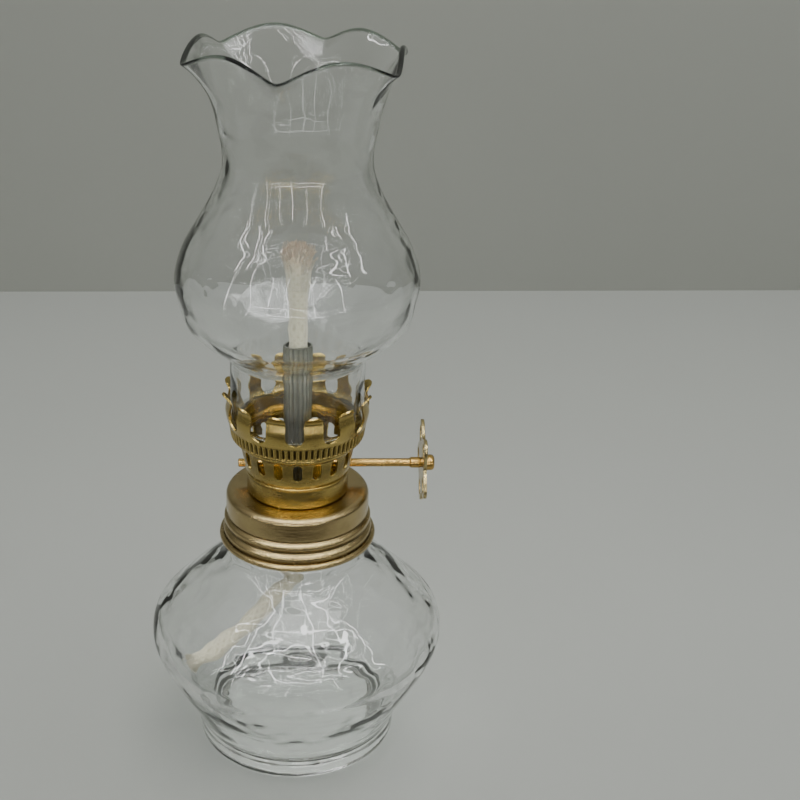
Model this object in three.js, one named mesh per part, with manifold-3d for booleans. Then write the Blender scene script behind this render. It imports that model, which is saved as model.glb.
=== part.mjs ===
// Miniature table oil lamp with a ruffled glass chimney and a screw-on brass burner.
//
// Millimetres, +Z up. The origin is on the lamp's axis, where the foot stands on the table.
// The wick spindle lies along X, behind the wick tube, and its thumbwheel is on the +X side.

import * as THREE from 'three';
import { mergeVertices } from 'three/addons/utils/BufferGeometryUtils.js';
import Module from 'manifold-3d';

const wasm = await Module();
wasm.setup();

// ---- Driving dimensions -------------------------------------------------------------------

const REST_GAP = 0.12; // between two pieces that rest on each other
const FIT_GAP = 0.3; // round a piece that passes through or screws over another
const ROUND = 32; // sides of the large round pieces
const SMALL_ROUND = 16; // sides of the small round pieces

// Glass font
const BELLY_RADIUS = 39;
const BELLY_HEIGHT = 33;
const FOOT_RADIUS = 26.9;
const FOOT_HEIGHT = 6.6;
const FONT_WALL = 2.3;
const FONT_FLOOR = 5.4;
const NECK_RADIUS = 16.9;
const NECK_START = 57;
const NECK_LENGTH = 15.4;
const NECK_WALL = 2.2;
const THREAD_DEPTH = 0.6;
const THREAD_WIDTH = 2.4;

// Screw cap and its liner
const CAP_WALL = 0.45;
const CAP_SHOULDER = 1.7;
const CAP_FLARE = 1.9; // how far the curled rim stands out past the cap's side
const CAP_BEAD = 1.9;
const LINER_THICKNESS = 1.1;

// Burner: plain collar, slotted bowl
const COLLAR_RADIUS = 13.1;
const COLLAR_HEIGHT = 6;
const SHEET = 0.45;
const BOWL_TOP_RADIUS = 14.7;
const BOWL_HEIGHT = 9.3;
const SLOT_COUNT = 18;
const SLOT_WIDTH = 2.3;
const SLOT_LENGTH = 4.9;
const SLOT_RISE = 2.4; // above the bowl's foot

// Gallery that grips the chimney
const BAND_HEIGHT = 4.6;
const BAND_FLARE = 0.8;
const PRONG_COUNT = 12;
const PRONG_TURN_DEG = 12.5; // first prong, from the front towards +X
const PRONG_WIDTH = 4.8;
const PRONG_LENGTH = 8;
const PRONG_BULGE = 0.6;
const PRONG_FLARE = 1.6;
const PRONG_TIP_RADIUS = 2.3;

// Chimney
const CHIMNEY_FOOT_RADIUS = 17;
const CHIMNEY_FOOT_HEIGHT = 17.2;
const CHIMNEY_WALL = 1.2;
const CHIMNEY_BELLY_RADIUS = 29.9;
const CHIMNEY_BELLY_HEIGHT = 21.2; // above the straight foot
const CHIMNEY_WAIST_RADIUS = 17.8;
const CHIMNEY_WAIST_HEIGHT = 29; // above the belly
const CHIMNEY_LIP_RADIUS = 24.3;
const CHIMNEY_LIP_HEIGHT = 26; // above the waist
const RUFFLE_DROP = 3.5;
const RUFFLE_PULL = 2.7;
const RUFFLE_DEPTH = 15;
const RUFFLE_CORNERS_DEG = [-10, 54, 111, 166, 224, 286]; // from the front, towards +X

// Wick tube and wick
const TUBE_RADIUS = 3.6;
const TUBE_WALL = 0.5;
const TUBE_FLUTES = 20;
const TUBE_FLUTE_DEPTH = 0.22;
const TUBE_ABOVE_CAP = 40.2;
const TUBE_BELOW_CAP = 13.2;
const WICK_RADIUS = 2.4;
const WICK_ABOVE_TUBE = 26.8;
const WICK_BELOW_TUBE = 2.3;
const WICK_HEAD_RADIUS = 4.6;
const WICK_HEAD_LENGTH = 6.2;
const WICK_LOWERED = 20; // travel down from rest
const WICK_RAISED = 10; // travel up from rest

// Spindle, feed wheel and thumbwheel
const SPINDLE_RADIUS = 1.1;
const SPINDLE_RISE = 3.8; // above the collar's floor
const SPINDLE_STUB = 3.4; // past the collar wall on the -X side
const FEED_WHEEL_RADIUS = 2.9;
const FEED_WHEEL_TEETH = 10;
const FEED_TOOTH_DEPTH = 0.7;
const FEED_WHEEL_THICKNESS = 1.4;
const THUMBWHEEL_PLACE = 33; // middle of the disc along X
const THUMBWHEEL_THICKNESS = 0.9;
const THUMBWHEEL_RADIUS = 9.6;
const THUMBWHEEL_LOBES = 5;
const THUMBWHEEL_LOBE_RISE = 1.9; // each way from the radius
const THUMBWHEEL_LEAN_DEG = 30; // the top lobe leans back, towards +Y
const THUMBWHEEL_HOLE_RADIUS = 2.1;
const THUMBWHEEL_HOLE_CIRCLE = 7.8;
const STOP_RADIUS = 1.45;
const STOP_LENGTH = 2.6;
const BUTTON_RADIUS = 2.1;
const BUTTON_LENGTH = 2.5;

// The loose end of the wick in the font, after it leaves the wick's straight part.
const WICK_TAIL_POINTS = [
  [0, 0, 58.3],
  [0, 0, 53],
  [-3, -3.2, 47],
  [-8.6, -6.8, 40.6],
  [-15.6, -9, 34.6],
  [-23, -10, 29],
  [-30.2, -10.5, 23.8],
];

// ---- Places worked out from the dimensions ------------------------------------------------

const neckTop = NECK_START + NECK_LENGTH;
const linerBottom = neckTop + REST_GAP;
const linerTop = linerBottom + LINER_THICKNESS;
const capCeiling = linerTop + REST_GAP;
const capTop = capCeiling + CAP_WALL;
const capBore = NECK_RADIUS + THREAD_DEPTH + FIT_GAP;
const capRadius = capBore + CAP_WALL + 0.35;
const capRimRadius = capRadius + CAP_FLARE;
const capBottom = NECK_START + CAP_BEAD * 1.7;

const tubeHole = TUBE_RADIUS + FIT_GAP;
const tubeTop = capTop + TUBE_ABOVE_CAP;
const tubeBottom = capTop - TUBE_BELOW_CAP;
const tubeBore = TUBE_RADIUS - TUBE_WALL;

const collarBottom = capTop + REST_GAP;
const collarFloor = collarBottom + SHEET;
const collarTop = collarBottom + COLLAR_HEIGHT;
const bowlBottom = collarTop + REST_GAP;
const bowlTop = bowlBottom + BOWL_HEIGHT;
const bowlBeadRadius = BOWL_TOP_RADIUS + 0.7;

const galleryBottom = bowlTop + REST_GAP;
const seatTop = galleryBottom + BAND_HEIGHT;
const chimneyBottom = seatTop + REST_GAP;
const prongRoot = CHIMNEY_FOOT_RADIUS + FIT_GAP + SHEET;

const spindleZ = collarFloor + SPINDLE_RISE;
const spindleY = WICK_RADIUS - 0.45 + FEED_WHEEL_RADIUS;
const spindleLeft = -(Math.sqrt(COLLAR_RADIUS ** 2 - spindleY ** 2) + SPINDLE_STUB);
const thumbwheelLeft = THUMBWHEEL_PLACE - THUMBWHEEL_THICKNESS / 2;
const buttonLeft = THUMBWHEEL_PLACE + THUMBWHEEL_THICKNESS / 2 + REST_GAP;
const spindleRight = buttonLeft + BUTTON_LENGTH * 0.6;
const spindleBore = SPINDLE_RADIUS + 0.14;

const wickTop = tubeTop + WICK_ABOVE_TUBE;
const wickBottom = tubeBottom - WICK_BELOW_TUBE;

// ---- Helpers ------------------------------------------------------------------------------

/** Welds shared vertices and drops the flat triangles that a profile on the axis leaves. */
function weld(geometry) {
  const bare = geometry.clone();
  bare.deleteAttribute('normal');
  bare.deleteAttribute('uv');
  const merged = mergeVertices(bare, 1e-4);
  const index = merged.getIndex().array;
  const kept = [];
  for (let i = 0; i < index.length; i += 3) {
    const [a, b, c] = index.slice(i, i + 3);
    if (a !== b && b !== c && c !== a) kept.push(a, b, c);
  }
  merged.setIndex(kept);
  return merged;
}

function toSolid(geometry) {
  const merged = weld(geometry);
  const vertProperties = new Float32Array(merged.getAttribute('position').array);
  const triVerts = new Uint32Array(merged.getIndex().array);
  return new wasm.Manifold(new wasm.Mesh({ numProp: 3, vertProperties, triVerts }));
}

function toGeometry(solid) {
  const mesh = solid.getMesh();
  const geometry = new THREE.BufferGeometry();
  geometry.setAttribute('position', new THREE.BufferAttribute(mesh.vertProperties, 3));
  geometry.setIndex(new THREE.BufferAttribute(mesh.triVerts, 1));
  geometry.computeVertexNormals();
  return geometry;
}

function joined(geometries) {
  return geometries.map(toSolid).reduce((whole, piece) => whole.add(piece));
}

function cut(geometry, cutters) {
  return toGeometry(toSolid(geometry).subtract(joined(cutters)));
}

/** Points of a circular arc, for a lathe profile. Angles are in degrees from +r. */
function arc(r, z, radius, fromDeg, toDeg, steps) {
  return Array.from({ length: steps + 1 }, (_, i) => {
    const angle = THREE.MathUtils.degToRad(fromDeg + ((toDeg - fromDeg) * i) / steps);
    return [r + radius * Math.cos(angle), z + radius * Math.sin(angle)];
  });
}

/** A smooth curve through a few profile points, sampled at even steps. */
function smooth(points, steps) {
  const curve = new THREE.SplineCurve(points.map(([r, z]) => new THREE.Vector2(r, z)));
  return curve.getSpacedPoints(steps).map((p) => [p.x, p.y]);
}

/** The same profile moved to its left-hand side by a wall thickness. */
function inset(points, wall) {
  return points.map(([r, z], i) => {
    const [r0, z0] = points[Math.max(i - 1, 0)];
    const [r1, z1] = points[Math.min(i + 1, points.length - 1)];
    const length = Math.hypot(r1 - r0, z1 - z0);
    return [r - (wall * (z1 - z0)) / length, z + (wall * (r1 - r0)) / length];
  });
}

/** Turns an anticlockwise profile of [radius, height] points about the Z axis. */
function turned(profile, segments = ROUND) {
  const points = profile.map(([r, z]) => new THREE.Vector2(r, z));
  const geometry = new THREE.LatheGeometry(points, segments);
  geometry.rotateX(Math.PI / 2);
  return geometry;
}

/** The same for a profile that doesn't touch the axis: it closes on itself. */
function turnedRing(profile, segments = ROUND) {
  return turned([...profile, profile[0]], segments);
}

/** Lays a turned piece's Z axis along +X. */
function alongX(geometry) {
  return geometry.rotateY(Math.PI / 2);
}

/** A flat outline extruded along Z from zero. */
function plate(shape, depth, curveSegments = 8) {
  return new THREE.ExtrudeGeometry(shape, { depth, bevelEnabled: false, curveSegments });
}

/** An upright outline (x across, y up) extruded outwards along the direction of an azimuth. */
function radialPrism(shape, length, azimuth) {
  const prism = plate(shape, length, 3);
  prism.rotateX(Math.PI / 2);
  prism.rotateZ(azimuth);
  return prism;
}

function azimuths(count, offset = 0) {
  return Array.from({ length: count }, (_, i) => ((i + offset) * 2 * Math.PI) / count);
}

// ---- Font ---------------------------------------------------------------------------------

/** Squat glass bowl with a foot ring below and a threaded neck above. */
function fontGeometry() {
  const shoulderStart = NECK_RADIUS + 2.2;
  const belly = smooth(
    [
      [FOOT_RADIUS + 0.5, FOOT_HEIGHT],
      [FOOT_RADIUS + 3, BELLY_HEIGHT * 0.375],
      [BELLY_RADIUS - 4.6, BELLY_HEIGHT * 0.625],
      [BELLY_RADIUS - 0.9, BELLY_HEIGHT * 0.86],
      [BELLY_RADIUS, BELLY_HEIGHT],
      [BELLY_RADIUS - 1.1, BELLY_HEIGHT + 4],
      [BELLY_RADIUS - 5.2, BELLY_HEIGHT + 8.4],
      [(BELLY_RADIUS + shoulderStart) / 2 - 1.6, NECK_START - 9.4],
      [shoulderStart + 1.9, NECK_START - 4.4],
      [shoulderStart - 0.6, NECK_START - 1.6],
      [NECK_RADIUS + 1.2, NECK_START],
    ],
    11,
  );
  const inner = inset(belly.slice(1, -1), FONT_WALL).reverse();
  const threadZ = NECK_START + NECK_LENGTH * 0.62;
  const neckBore = NECK_RADIUS - NECK_WALL;
  const profile = [
    [0, 2.4],
    [FOOT_RADIUS - 6.4, 1.9],
    ...arc(FOOT_RADIUS - 3.8, 0.9, 0.9, 200, 270, 2),
    ...arc(FOOT_RADIUS - 1.5, 1.5, 1.5, 270, 360, 3),
    [FOOT_RADIUS + 0.2, FOOT_HEIGHT - 1.2],
    ...belly,
    ...arc(NECK_RADIUS, NECK_START + 1.2, 1.2, 0, 90, 2),
    [NECK_RADIUS, threadZ - THREAD_WIDTH],
    [NECK_RADIUS + THREAD_DEPTH, threadZ - THREAD_WIDTH / 2],
    [NECK_RADIUS + THREAD_DEPTH, threadZ],
    [NECK_RADIUS, threadZ + THREAD_WIDTH / 2],
    ...arc(NECK_RADIUS - 0.8, neckTop - 0.8, 0.8, 0, 90, 2),
    ...arc(neckBore + 0.6, neckTop - 0.6, 0.6, 90, 180, 2),
    [neckBore, NECK_START + 1],
    ...inner.filter(([, z]) => z < NECK_START - 1 && z > FONT_FLOOR + 2.6),
    [FOOT_RADIUS - 4.2, FONT_FLOOR + 1],
    [FOOT_RADIUS - 10, FONT_FLOOR],
    [0, FONT_FLOOR - 0.4],
  ];
  return turned(profile);
}

// ---- Screw cap and liner ------------------------------------------------------------------

/** Spun tin cap: rounded shoulder, two rolled grooves, flared skirt and a curled rim. */
function screwCapGeometry() {
  const beadRadius = CAP_BEAD / 2;
  const beadCentre = capRimRadius - beadRadius;
  const beadZ = capBottom + beadRadius;
  const skirtTop = beadZ + 3.3;
  const outside = [
    ...arc(beadCentre, beadZ, beadRadius, -90, 70, 4),
    [capRadius + 0.85, beadZ + 1.6],
    [capRadius + 0.75, skirtTop - 0.9],
    [capRadius + 0.1, skirtTop],
    ...arc(capRadius - 0.9, skirtTop + 1.7, 1.5, -50, 50, 3),
    [capRadius - 0.25, skirtTop + 3.2],
    [capRadius, skirtTop + 3.8],
    ...arc(capRadius - CAP_SHOULDER, capTop - CAP_SHOULDER, CAP_SHOULDER, 0, 90, 3),
  ];
  const profile = [
    [tubeHole, capCeiling],
    ...arc(capBore - 1.2, capCeiling - 1.2, 1.2, 90, 0, 2),
    [capBore, skirtTop - 0.4],
    [capBore + 0.5, skirtTop - 1.1],
    [capBore + 0.5, beadZ],
    [beadCentre - 0.35, capBottom + 0.35],
    ...outside,
    [tubeHole, capTop],
  ];
  return turnedRing(profile);
}

/** Soft sealing ring between the cap's ceiling and the neck's lip. */
function linerGeometry() {
  const outer = NECK_RADIUS - 0.2;
  const profile = [
    [tubeHole + 1.4, linerBottom],
    [outer, linerBottom],
    [outer, linerTop],
    [tubeHole + 1.4, linerTop],
  ];
  return turnedRing(profile);
}

// ---- Burner -------------------------------------------------------------------------------

function spindleHole(length, clearance) {
  const drill = alongX(new THREE.CylinderGeometry(
    SPINDLE_RADIUS + clearance, SPINDLE_RADIUS + clearance, length, SMALL_ROUND,
  ).rotateX(Math.PI / 2));
  return drill.translate(0, spindleY, spindleZ);
}

/** Plain drawn cup that stands on the cap, with a beaded top edge and the spindle's holes. */
function collarGeometry() {
  const inside = COLLAR_RADIUS - SHEET;
  const bead = 0.32;
  const profile = [
    [tubeHole, collarBottom],
    ...arc(COLLAR_RADIUS - 0.5, collarBottom + 0.5, 0.5, -90, 0, 2),
    ...arc(COLLAR_RADIUS, collarTop - bead, bead, -90, 90, 3),
    [inside, collarTop],
    [inside, collarFloor],
    [tubeHole, collarFloor],
  ];
  return cut(turnedRing(profile), [spindleHole(COLLAR_RADIUS * 2 + 4, FIT_GAP)]);
}

/** Upright slot outline with round ends, centred on x = 0. */
function slotShape(width, bottom, length) {
  const shape = new THREE.Shape();
  const r = width / 2;
  shape.absarc(0, bottom + length - r, r, 0, Math.PI, false);
  shape.absarc(0, bottom + r, r, Math.PI, 2 * Math.PI, false);
  shape.closePath();
  return shape;
}

/** Flared bowl with a ring of draught slots, an inner foot flange and a rolled top bead. */
function bowlGeometry() {
  const foot = COLLAR_RADIUS + 0.15;
  const beadZ = bowlTop - 0.8;
  const profile = [
    [foot - 2.2, bowlBottom],
    [foot, bowlBottom],
    [foot + 0.2, bowlBottom + 0.5],
    [BOWL_TOP_RADIUS, bowlTop - 2],
    ...arc(bowlBeadRadius - 0.6, beadZ, 0.8, -60, 90, 3),
    [BOWL_TOP_RADIUS - 1.3, bowlTop],
    [BOWL_TOP_RADIUS - 1.3, bowlTop - SHEET],
    [BOWL_TOP_RADIUS - SHEET, bowlTop - 1],
    [BOWL_TOP_RADIUS - SHEET, bowlTop - 2],
    [foot + 0.2 - SHEET, bowlBottom + 0.5 + SHEET],
    [foot - 2.2, bowlBottom + SHEET],
  ];
  const slots = azimuths(SLOT_COUNT).map((azimuth) => {
    const shape = slotShape(SLOT_WIDTH, bowlBottom + SLOT_RISE, SLOT_LENGTH);
    return radialPrism(shape, BOWL_TOP_RADIUS + 4, azimuth);
  });
  const core = new THREE.CylinderGeometry(6, 6, BOWL_HEIGHT, SMALL_ROUND);
  core.rotateX(Math.PI / 2);
  core.translate(0, 0, bowlBottom + BOWL_HEIGHT / 2);
  const cutters = joined(slots).subtract(toSolid(core));
  return toGeometry(toSolid(turnedRing(profile)).subtract(cutters));
}

// ---- Gallery ------------------------------------------------------------------------------

/** Seat ring with an upright band, and the spring prongs that grip the chimney's foot. */
function galleryGeometry() {
  const bandFoot = prongRoot - BAND_FLARE;
  const seatInner = CHIMNEY_FOOT_RADIUS - CHIMNEY_WALL - 0.9;
  const ring = turnedRing([
    [bowlBeadRadius - 1.4, galleryBottom],
    [bandFoot - 0.4, galleryBottom],
    [bandFoot, galleryBottom + 0.5],
    [prongRoot, seatTop],
    [seatInner, seatTop],
    [seatInner, seatTop - SHEET],
    [prongRoot - SHEET - 0.15, seatTop - SHEET],
    [bandFoot - SHEET, galleryBottom + SHEET + 0.1],
    [bowlBeadRadius - 1.4, galleryBottom + SHEET],
  ]);
  const outside = smooth(
    [
      [prongRoot, seatTop - 0.3],
      [prongRoot + PRONG_BULGE * 0.8, seatTop + PRONG_LENGTH * 0.22],
      [prongRoot + PRONG_BULGE, seatTop + PRONG_LENGTH * 0.42],
      [prongRoot + PRONG_BULGE * 0.45, seatTop + PRONG_LENGTH * 0.62],
      [prongRoot + 0.1, seatTop + PRONG_LENGTH * 0.76],
      [prongRoot + PRONG_FLARE * 0.4, seatTop + PRONG_LENGTH * 0.88],
      [prongRoot + PRONG_FLARE, seatTop + PRONG_LENGTH],
    ],
    7,
  );
  const crown = turnedRing([...outside, ...inset(outside, SHEET).reverse()], 36);
  const tongues = azimuths(PRONG_COUNT, (PRONG_TURN_DEG * PRONG_COUNT) / 360).map((azimuth) => {
    const height = PRONG_LENGTH + 1.3;
    const shape = new THREE.Shape();
    const half = PRONG_WIDTH / 2;
    shape.moveTo(-half, seatTop - 1);
    shape.lineTo(half, seatTop - 1);
    shape.lineTo(half, seatTop - 1 + height - PRONG_TIP_RADIUS);
    shape.absarc(half - PRONG_TIP_RADIUS, seatTop - 1 + height - PRONG_TIP_RADIUS,
      PRONG_TIP_RADIUS, 0, Math.PI / 2, false);
    shape.absarc(PRONG_TIP_RADIUS - half, seatTop - 1 + height - PRONG_TIP_RADIUS,
      PRONG_TIP_RADIUS, Math.PI / 2, Math.PI, false);
    shape.closePath();
    return radialPrism(shape, prongRoot + PRONG_FLARE + 3, azimuth);
  });
  const well = new THREE.CylinderGeometry(seatInner, seatInner, 30, SMALL_ROUND);
  well.rotateX(Math.PI / 2);
  well.translate(0, 0, seatTop);
  const prongs = toSolid(crown).intersect(joined(tongues).subtract(toSolid(well)));
  return toGeometry(toSolid(ring).add(prongs));
}

// ---- Chimney ------------------------------------------------------------------------------

/** How near an azimuth is to a ruffle corner: 1 at a corner, 0 at the middle of a petal. */
function ruffleAt(azimuth) {
  const turn = 2 * Math.PI;
  const corners = RUFFLE_CORNERS_DEG.map(THREE.MathUtils.degToRad);
  const angle = ((azimuth - corners[0]) % turn + turn) % turn + corners[0];
  const next = corners.findIndex((corner) => corner > angle);
  const end = next === -1 ? corners[0] + turn : corners[next];
  const start = next === -1 ? corners[corners.length - 1] : corners[next - 1];
  return 1 - Math.sin((Math.PI * (angle - start)) / (end - start)) ** 0.8;
}

/** Pulls the lip outwards and down at each ruffle corner. */
function ruffle(geometry, lipZ) {
  const position = geometry.getAttribute('position');
  for (let i = 0; i < position.count; i += 1) {
    const [x, y, z] = [position.getX(i), position.getY(i), position.getZ(i)];
    const reach = Math.max(0, 1 - (lipZ - z) / RUFFLE_DEPTH) ** 2;
    if (reach > 0) {
      const radius = Math.hypot(x, y);
      const corner = ruffleAt(Math.atan2(x, -y)) * reach;
      const scale = 1 + (RUFFLE_PULL * corner) / radius;
      position.setXYZ(i, x * scale, y * scale, z - RUFFLE_DROP * corner);
    }
  }
  return geometry;
}

/** Blown glass chimney: straight foot, round belly, waist and a ruffled lip. */
function chimneyGeometry() {
  const footTop = chimneyBottom + CHIMNEY_FOOT_HEIGHT;
  const bellyZ = footTop + CHIMNEY_BELLY_HEIGHT;
  const waistZ = bellyZ + CHIMNEY_WAIST_HEIGHT;
  const lipZ = waistZ + CHIMNEY_LIP_HEIGHT;
  const swell = CHIMNEY_BELLY_RADIUS - CHIMNEY_FOOT_RADIUS;
  const fall = CHIMNEY_BELLY_RADIUS - CHIMNEY_WAIST_RADIUS;
  const flare = CHIMNEY_LIP_RADIUS - CHIMNEY_WAIST_RADIUS;
  const body = smooth(
    [
      [CHIMNEY_FOOT_RADIUS + 0.05, footTop],
      [CHIMNEY_FOOT_RADIUS + swell * 0.16, footTop + CHIMNEY_BELLY_HEIGHT * 0.1],
      [CHIMNEY_FOOT_RADIUS + swell * 0.57, footTop + CHIMNEY_BELLY_HEIGHT * 0.3],
      [CHIMNEY_FOOT_RADIUS + swell * 0.83, footTop + CHIMNEY_BELLY_HEIGHT * 0.48],
      [CHIMNEY_FOOT_RADIUS + swell * 0.94, footTop + CHIMNEY_BELLY_HEIGHT * 0.72],
      [CHIMNEY_BELLY_RADIUS, bellyZ],
      [CHIMNEY_BELLY_RADIUS - fall * 0.18, bellyZ + CHIMNEY_WAIST_HEIGHT * 0.25],
      [CHIMNEY_BELLY_RADIUS - fall * 0.53, bellyZ + CHIMNEY_WAIST_HEIGHT * 0.5],
      [CHIMNEY_BELLY_RADIUS - fall * 0.86, bellyZ + CHIMNEY_WAIST_HEIGHT * 0.76],
      [CHIMNEY_WAIST_RADIUS, waistZ],
      [CHIMNEY_WAIST_RADIUS + flare * 0.2, waistZ + CHIMNEY_LIP_HEIGHT * 0.35],
      [CHIMNEY_WAIST_RADIUS + flare * 0.46, waistZ + CHIMNEY_LIP_HEIGHT * 0.6],
      [CHIMNEY_WAIST_RADIUS + flare * 0.76, waistZ + CHIMNEY_LIP_HEIGHT * 0.83],
      [CHIMNEY_LIP_RADIUS, lipZ],
    ],
    18,
  );
  const outside = [[CHIMNEY_FOOT_RADIUS, chimneyBottom], ...body];
  const bore = CHIMNEY_FOOT_RADIUS - CHIMNEY_WALL;
  const inside = [[bore, chimneyBottom], ...inset(body, CHIMNEY_WALL)];
  const glass = turnedRing([...outside, ...inside.reverse()], 40);
  return ruffle(glass, lipZ);
}

// ---- Wick tube and wick -------------------------------------------------------------------

/** Fluted tube, a washer on each side of the cap, and a window for the feed wheel and spindle. */
function wickTubeGeometry() {
  const flutes = azimuths(TUBE_FLUTES * 2).map((angle, i) => {
    const r = i % 2 ? TUBE_RADIUS - TUBE_FLUTE_DEPTH : TUBE_RADIUS;
    return new THREE.Vector2(r * Math.cos(angle), r * Math.sin(angle));
  });
  const length = tubeTop - tubeBottom;
  const barrel = plate(new THREE.Shape(flutes), length).translate(0, 0, tubeBottom);
  const washer = (bottom, top) => new THREE.CylinderGeometry(
    TUBE_RADIUS + 1.1, TUBE_RADIUS + 1.1, top - bottom, SMALL_ROUND,
  ).rotateX(Math.PI / 2).translate(0, 0, (bottom + top) / 2);
  const upper = washer(collarFloor + REST_GAP, collarFloor + REST_GAP + 0.45);
  const lower = washer(capCeiling - REST_GAP - 0.6, capCeiling - REST_GAP);
  const bore = new THREE.CylinderGeometry(tubeBore, tubeBore, length + 2, SMALL_ROUND);
  bore.rotateX(Math.PI / 2);
  bore.translate(0, 0, (tubeTop + tubeBottom) / 2);
  const windowHeight = 2 * Math.sqrt(
    FEED_WHEEL_RADIUS ** 2 - (spindleY - TUBE_RADIUS) ** 2,
  ) + 2 * FIT_GAP;
  const window = new THREE.BoxGeometry(
    FEED_WHEEL_THICKNESS + 2 * FIT_GAP, TUBE_RADIUS + 1, windowHeight,
  );
  window.translate(0, (TUBE_RADIUS + 1) / 2, spindleZ);
  const notch = spindleHole(TUBE_RADIUS * 3, REST_GAP);
  const solid = joined([barrel, upper, lower]).subtract(joined([bore, window, notch]));
  return toGeometry(solid);
}

/** Round cotton wick with a spread, frayed top and a flat track where the feed wheel bites. */
function wickGeometry() {
  const headZ = wickTop - WICK_HEAD_LENGTH;
  const stem = turned(
    [
      [0, wickBottom],
      [WICK_RADIUS, wickBottom],
      [WICK_RADIUS, headZ],
      ...smooth(
        [
          [WICK_RADIUS + 0.25, headZ + WICK_HEAD_LENGTH * 0.12],
          [WICK_HEAD_RADIUS - 0.3, headZ + WICK_HEAD_LENGTH * 0.42],
          [WICK_HEAD_RADIUS, headZ + WICK_HEAD_LENGTH * 0.68],
          [WICK_HEAD_RADIUS - 1.1, wickTop - 0.5],
          [1, wickTop - 0.05],
        ],
        7,
      ),
      [0, wickTop],
    ],
    SMALL_ROUND,
  );
  const trackBottom = spindleZ - FEED_WHEEL_RADIUS - WICK_RAISED - FIT_GAP;
  const trackTop = spindleZ + FEED_WHEEL_RADIUS + WICK_LOWERED + FIT_GAP;
  const trackY = spindleY - FEED_WHEEL_RADIUS - FIT_GAP;
  const track = new THREE.BoxGeometry(
    WICK_RADIUS * 3, WICK_RADIUS, trackTop - trackBottom,
  );
  track.translate(0, trackY + WICK_RADIUS / 2, (trackTop + trackBottom) / 2);
  return cut(stem, [track]);
}

/** The wick's loose end in the font. */
function wickTailGeometry() {
  const route = new THREE.CatmullRomCurve3(
    WICK_TAIL_POINTS.map((point) => new THREE.Vector3(...point)),
  );
  const section = new THREE.Shape();
  section.absarc(0, 0, WICK_RADIUS, 0, 2 * Math.PI, false);
  return new THREE.ExtrudeGeometry(section, {
    steps: 10, extrudePath: route, bevelEnabled: false, curveSegments: 5,
  });
}

// ---- Spindle, feed wheel, thumbwheel and button -------------------------------------------

/** Moves a piece made along +X about the origin onto the spindle's axis. */
function onSpindle(geometry, x = 0) {
  return geometry.translate(x, spindleY, spindleZ);
}

/** Brass rod with a pressed stop that the thumbwheel is riveted against. */
function spindleGeometry() {
  const stopEnd = thumbwheelLeft - REST_GAP;
  const profile = [
    [0, spindleLeft],
    [SPINDLE_RADIUS - 0.25, spindleLeft],
    [SPINDLE_RADIUS, spindleLeft + 0.25],
    [SPINDLE_RADIUS, stopEnd - STOP_LENGTH - 0.5],
    [STOP_RADIUS, stopEnd - STOP_LENGTH],
    [STOP_RADIUS, stopEnd],
    [SPINDLE_RADIUS, stopEnd],
    [SPINDLE_RADIUS, spindleRight],
    [0, spindleRight],
  ];
  return onSpindle(alongX(turned(profile, SMALL_ROUND)));
}

function boredShape(outline, boreRadius) {
  const shape = new THREE.Shape(outline);
  const bore = new THREE.Path();
  bore.absarc(0, 0, boreRadius, 0, 2 * Math.PI, true);
  shape.holes.push(bore);
  return shape;
}

/** Small star wheel whose teeth push the wick. */
function feedWheelGeometry() {
  const outline = azimuths(FEED_WHEEL_TEETH * 2).map((angle, i) => {
    const r = i % 2 ? FEED_WHEEL_RADIUS - FEED_TOOTH_DEPTH : FEED_WHEEL_RADIUS;
    return new THREE.Vector2(r * Math.cos(angle), r * Math.sin(angle));
  });
  const wheel = plate(boredShape(outline, spindleBore), FEED_WHEEL_THICKNESS);
  return onSpindle(alongX(wheel), -FEED_WHEEL_THICKNESS / 2);
}

/** Stamped thumbwheel with a scalloped edge and a round hole in each lobe. */
function thumbwheelGeometry() {
  const lean = THREE.MathUtils.degToRad(THUMBWHEEL_LEAN_DEG);
  const onDisc = (r, angle) => new THREE.Vector2(-r * Math.cos(angle), r * Math.sin(angle));
  const outline = azimuths(THUMBWHEEL_LOBES * 10).map((angle) => {
    const r = THUMBWHEEL_RADIUS + THUMBWHEEL_LOBE_RISE * Math.cos(THUMBWHEEL_LOBES * angle);
    return onDisc(r, angle + lean);
  }).reverse();
  const shape = boredShape(outline, spindleBore);
  azimuths(THUMBWHEEL_LOBES).forEach((angle) => {
    const middle = onDisc(THUMBWHEEL_HOLE_CIRCLE, angle + lean);
    const hole = new THREE.Path();
    hole.absarc(middle.x, middle.y, THUMBWHEEL_HOLE_RADIUS, 0, 2 * Math.PI, true);
    shape.holes.push(hole);
  });
  const disc = plate(shape, THUMBWHEEL_THICKNESS, 6);
  return onSpindle(alongX(disc), thumbwheelLeft);
}

/** Domed button pressed on the spindle's end, which holds the thumbwheel. */
function buttonGeometry() {
  const profile = [
    [spindleBore, 0],
    [BUTTON_RADIUS, 0],
    [BUTTON_RADIUS, BUTTON_LENGTH * 0.66],
    ...arc(BUTTON_RADIUS - 0.8, BUTTON_LENGTH - 0.8, 0.8, 20, 90, 3),
    [0, BUTTON_LENGTH],
    [0, spindleRight - buttonLeft + REST_GAP],
    [spindleBore, spindleRight - buttonLeft + REST_GAP],
    [spindleBore, 0],
  ];
  return onSpindle(alongX(turned(profile, SMALL_ROUND)), buttonLeft);
}

// ---- Assembly -----------------------------------------------------------------------------

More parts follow.
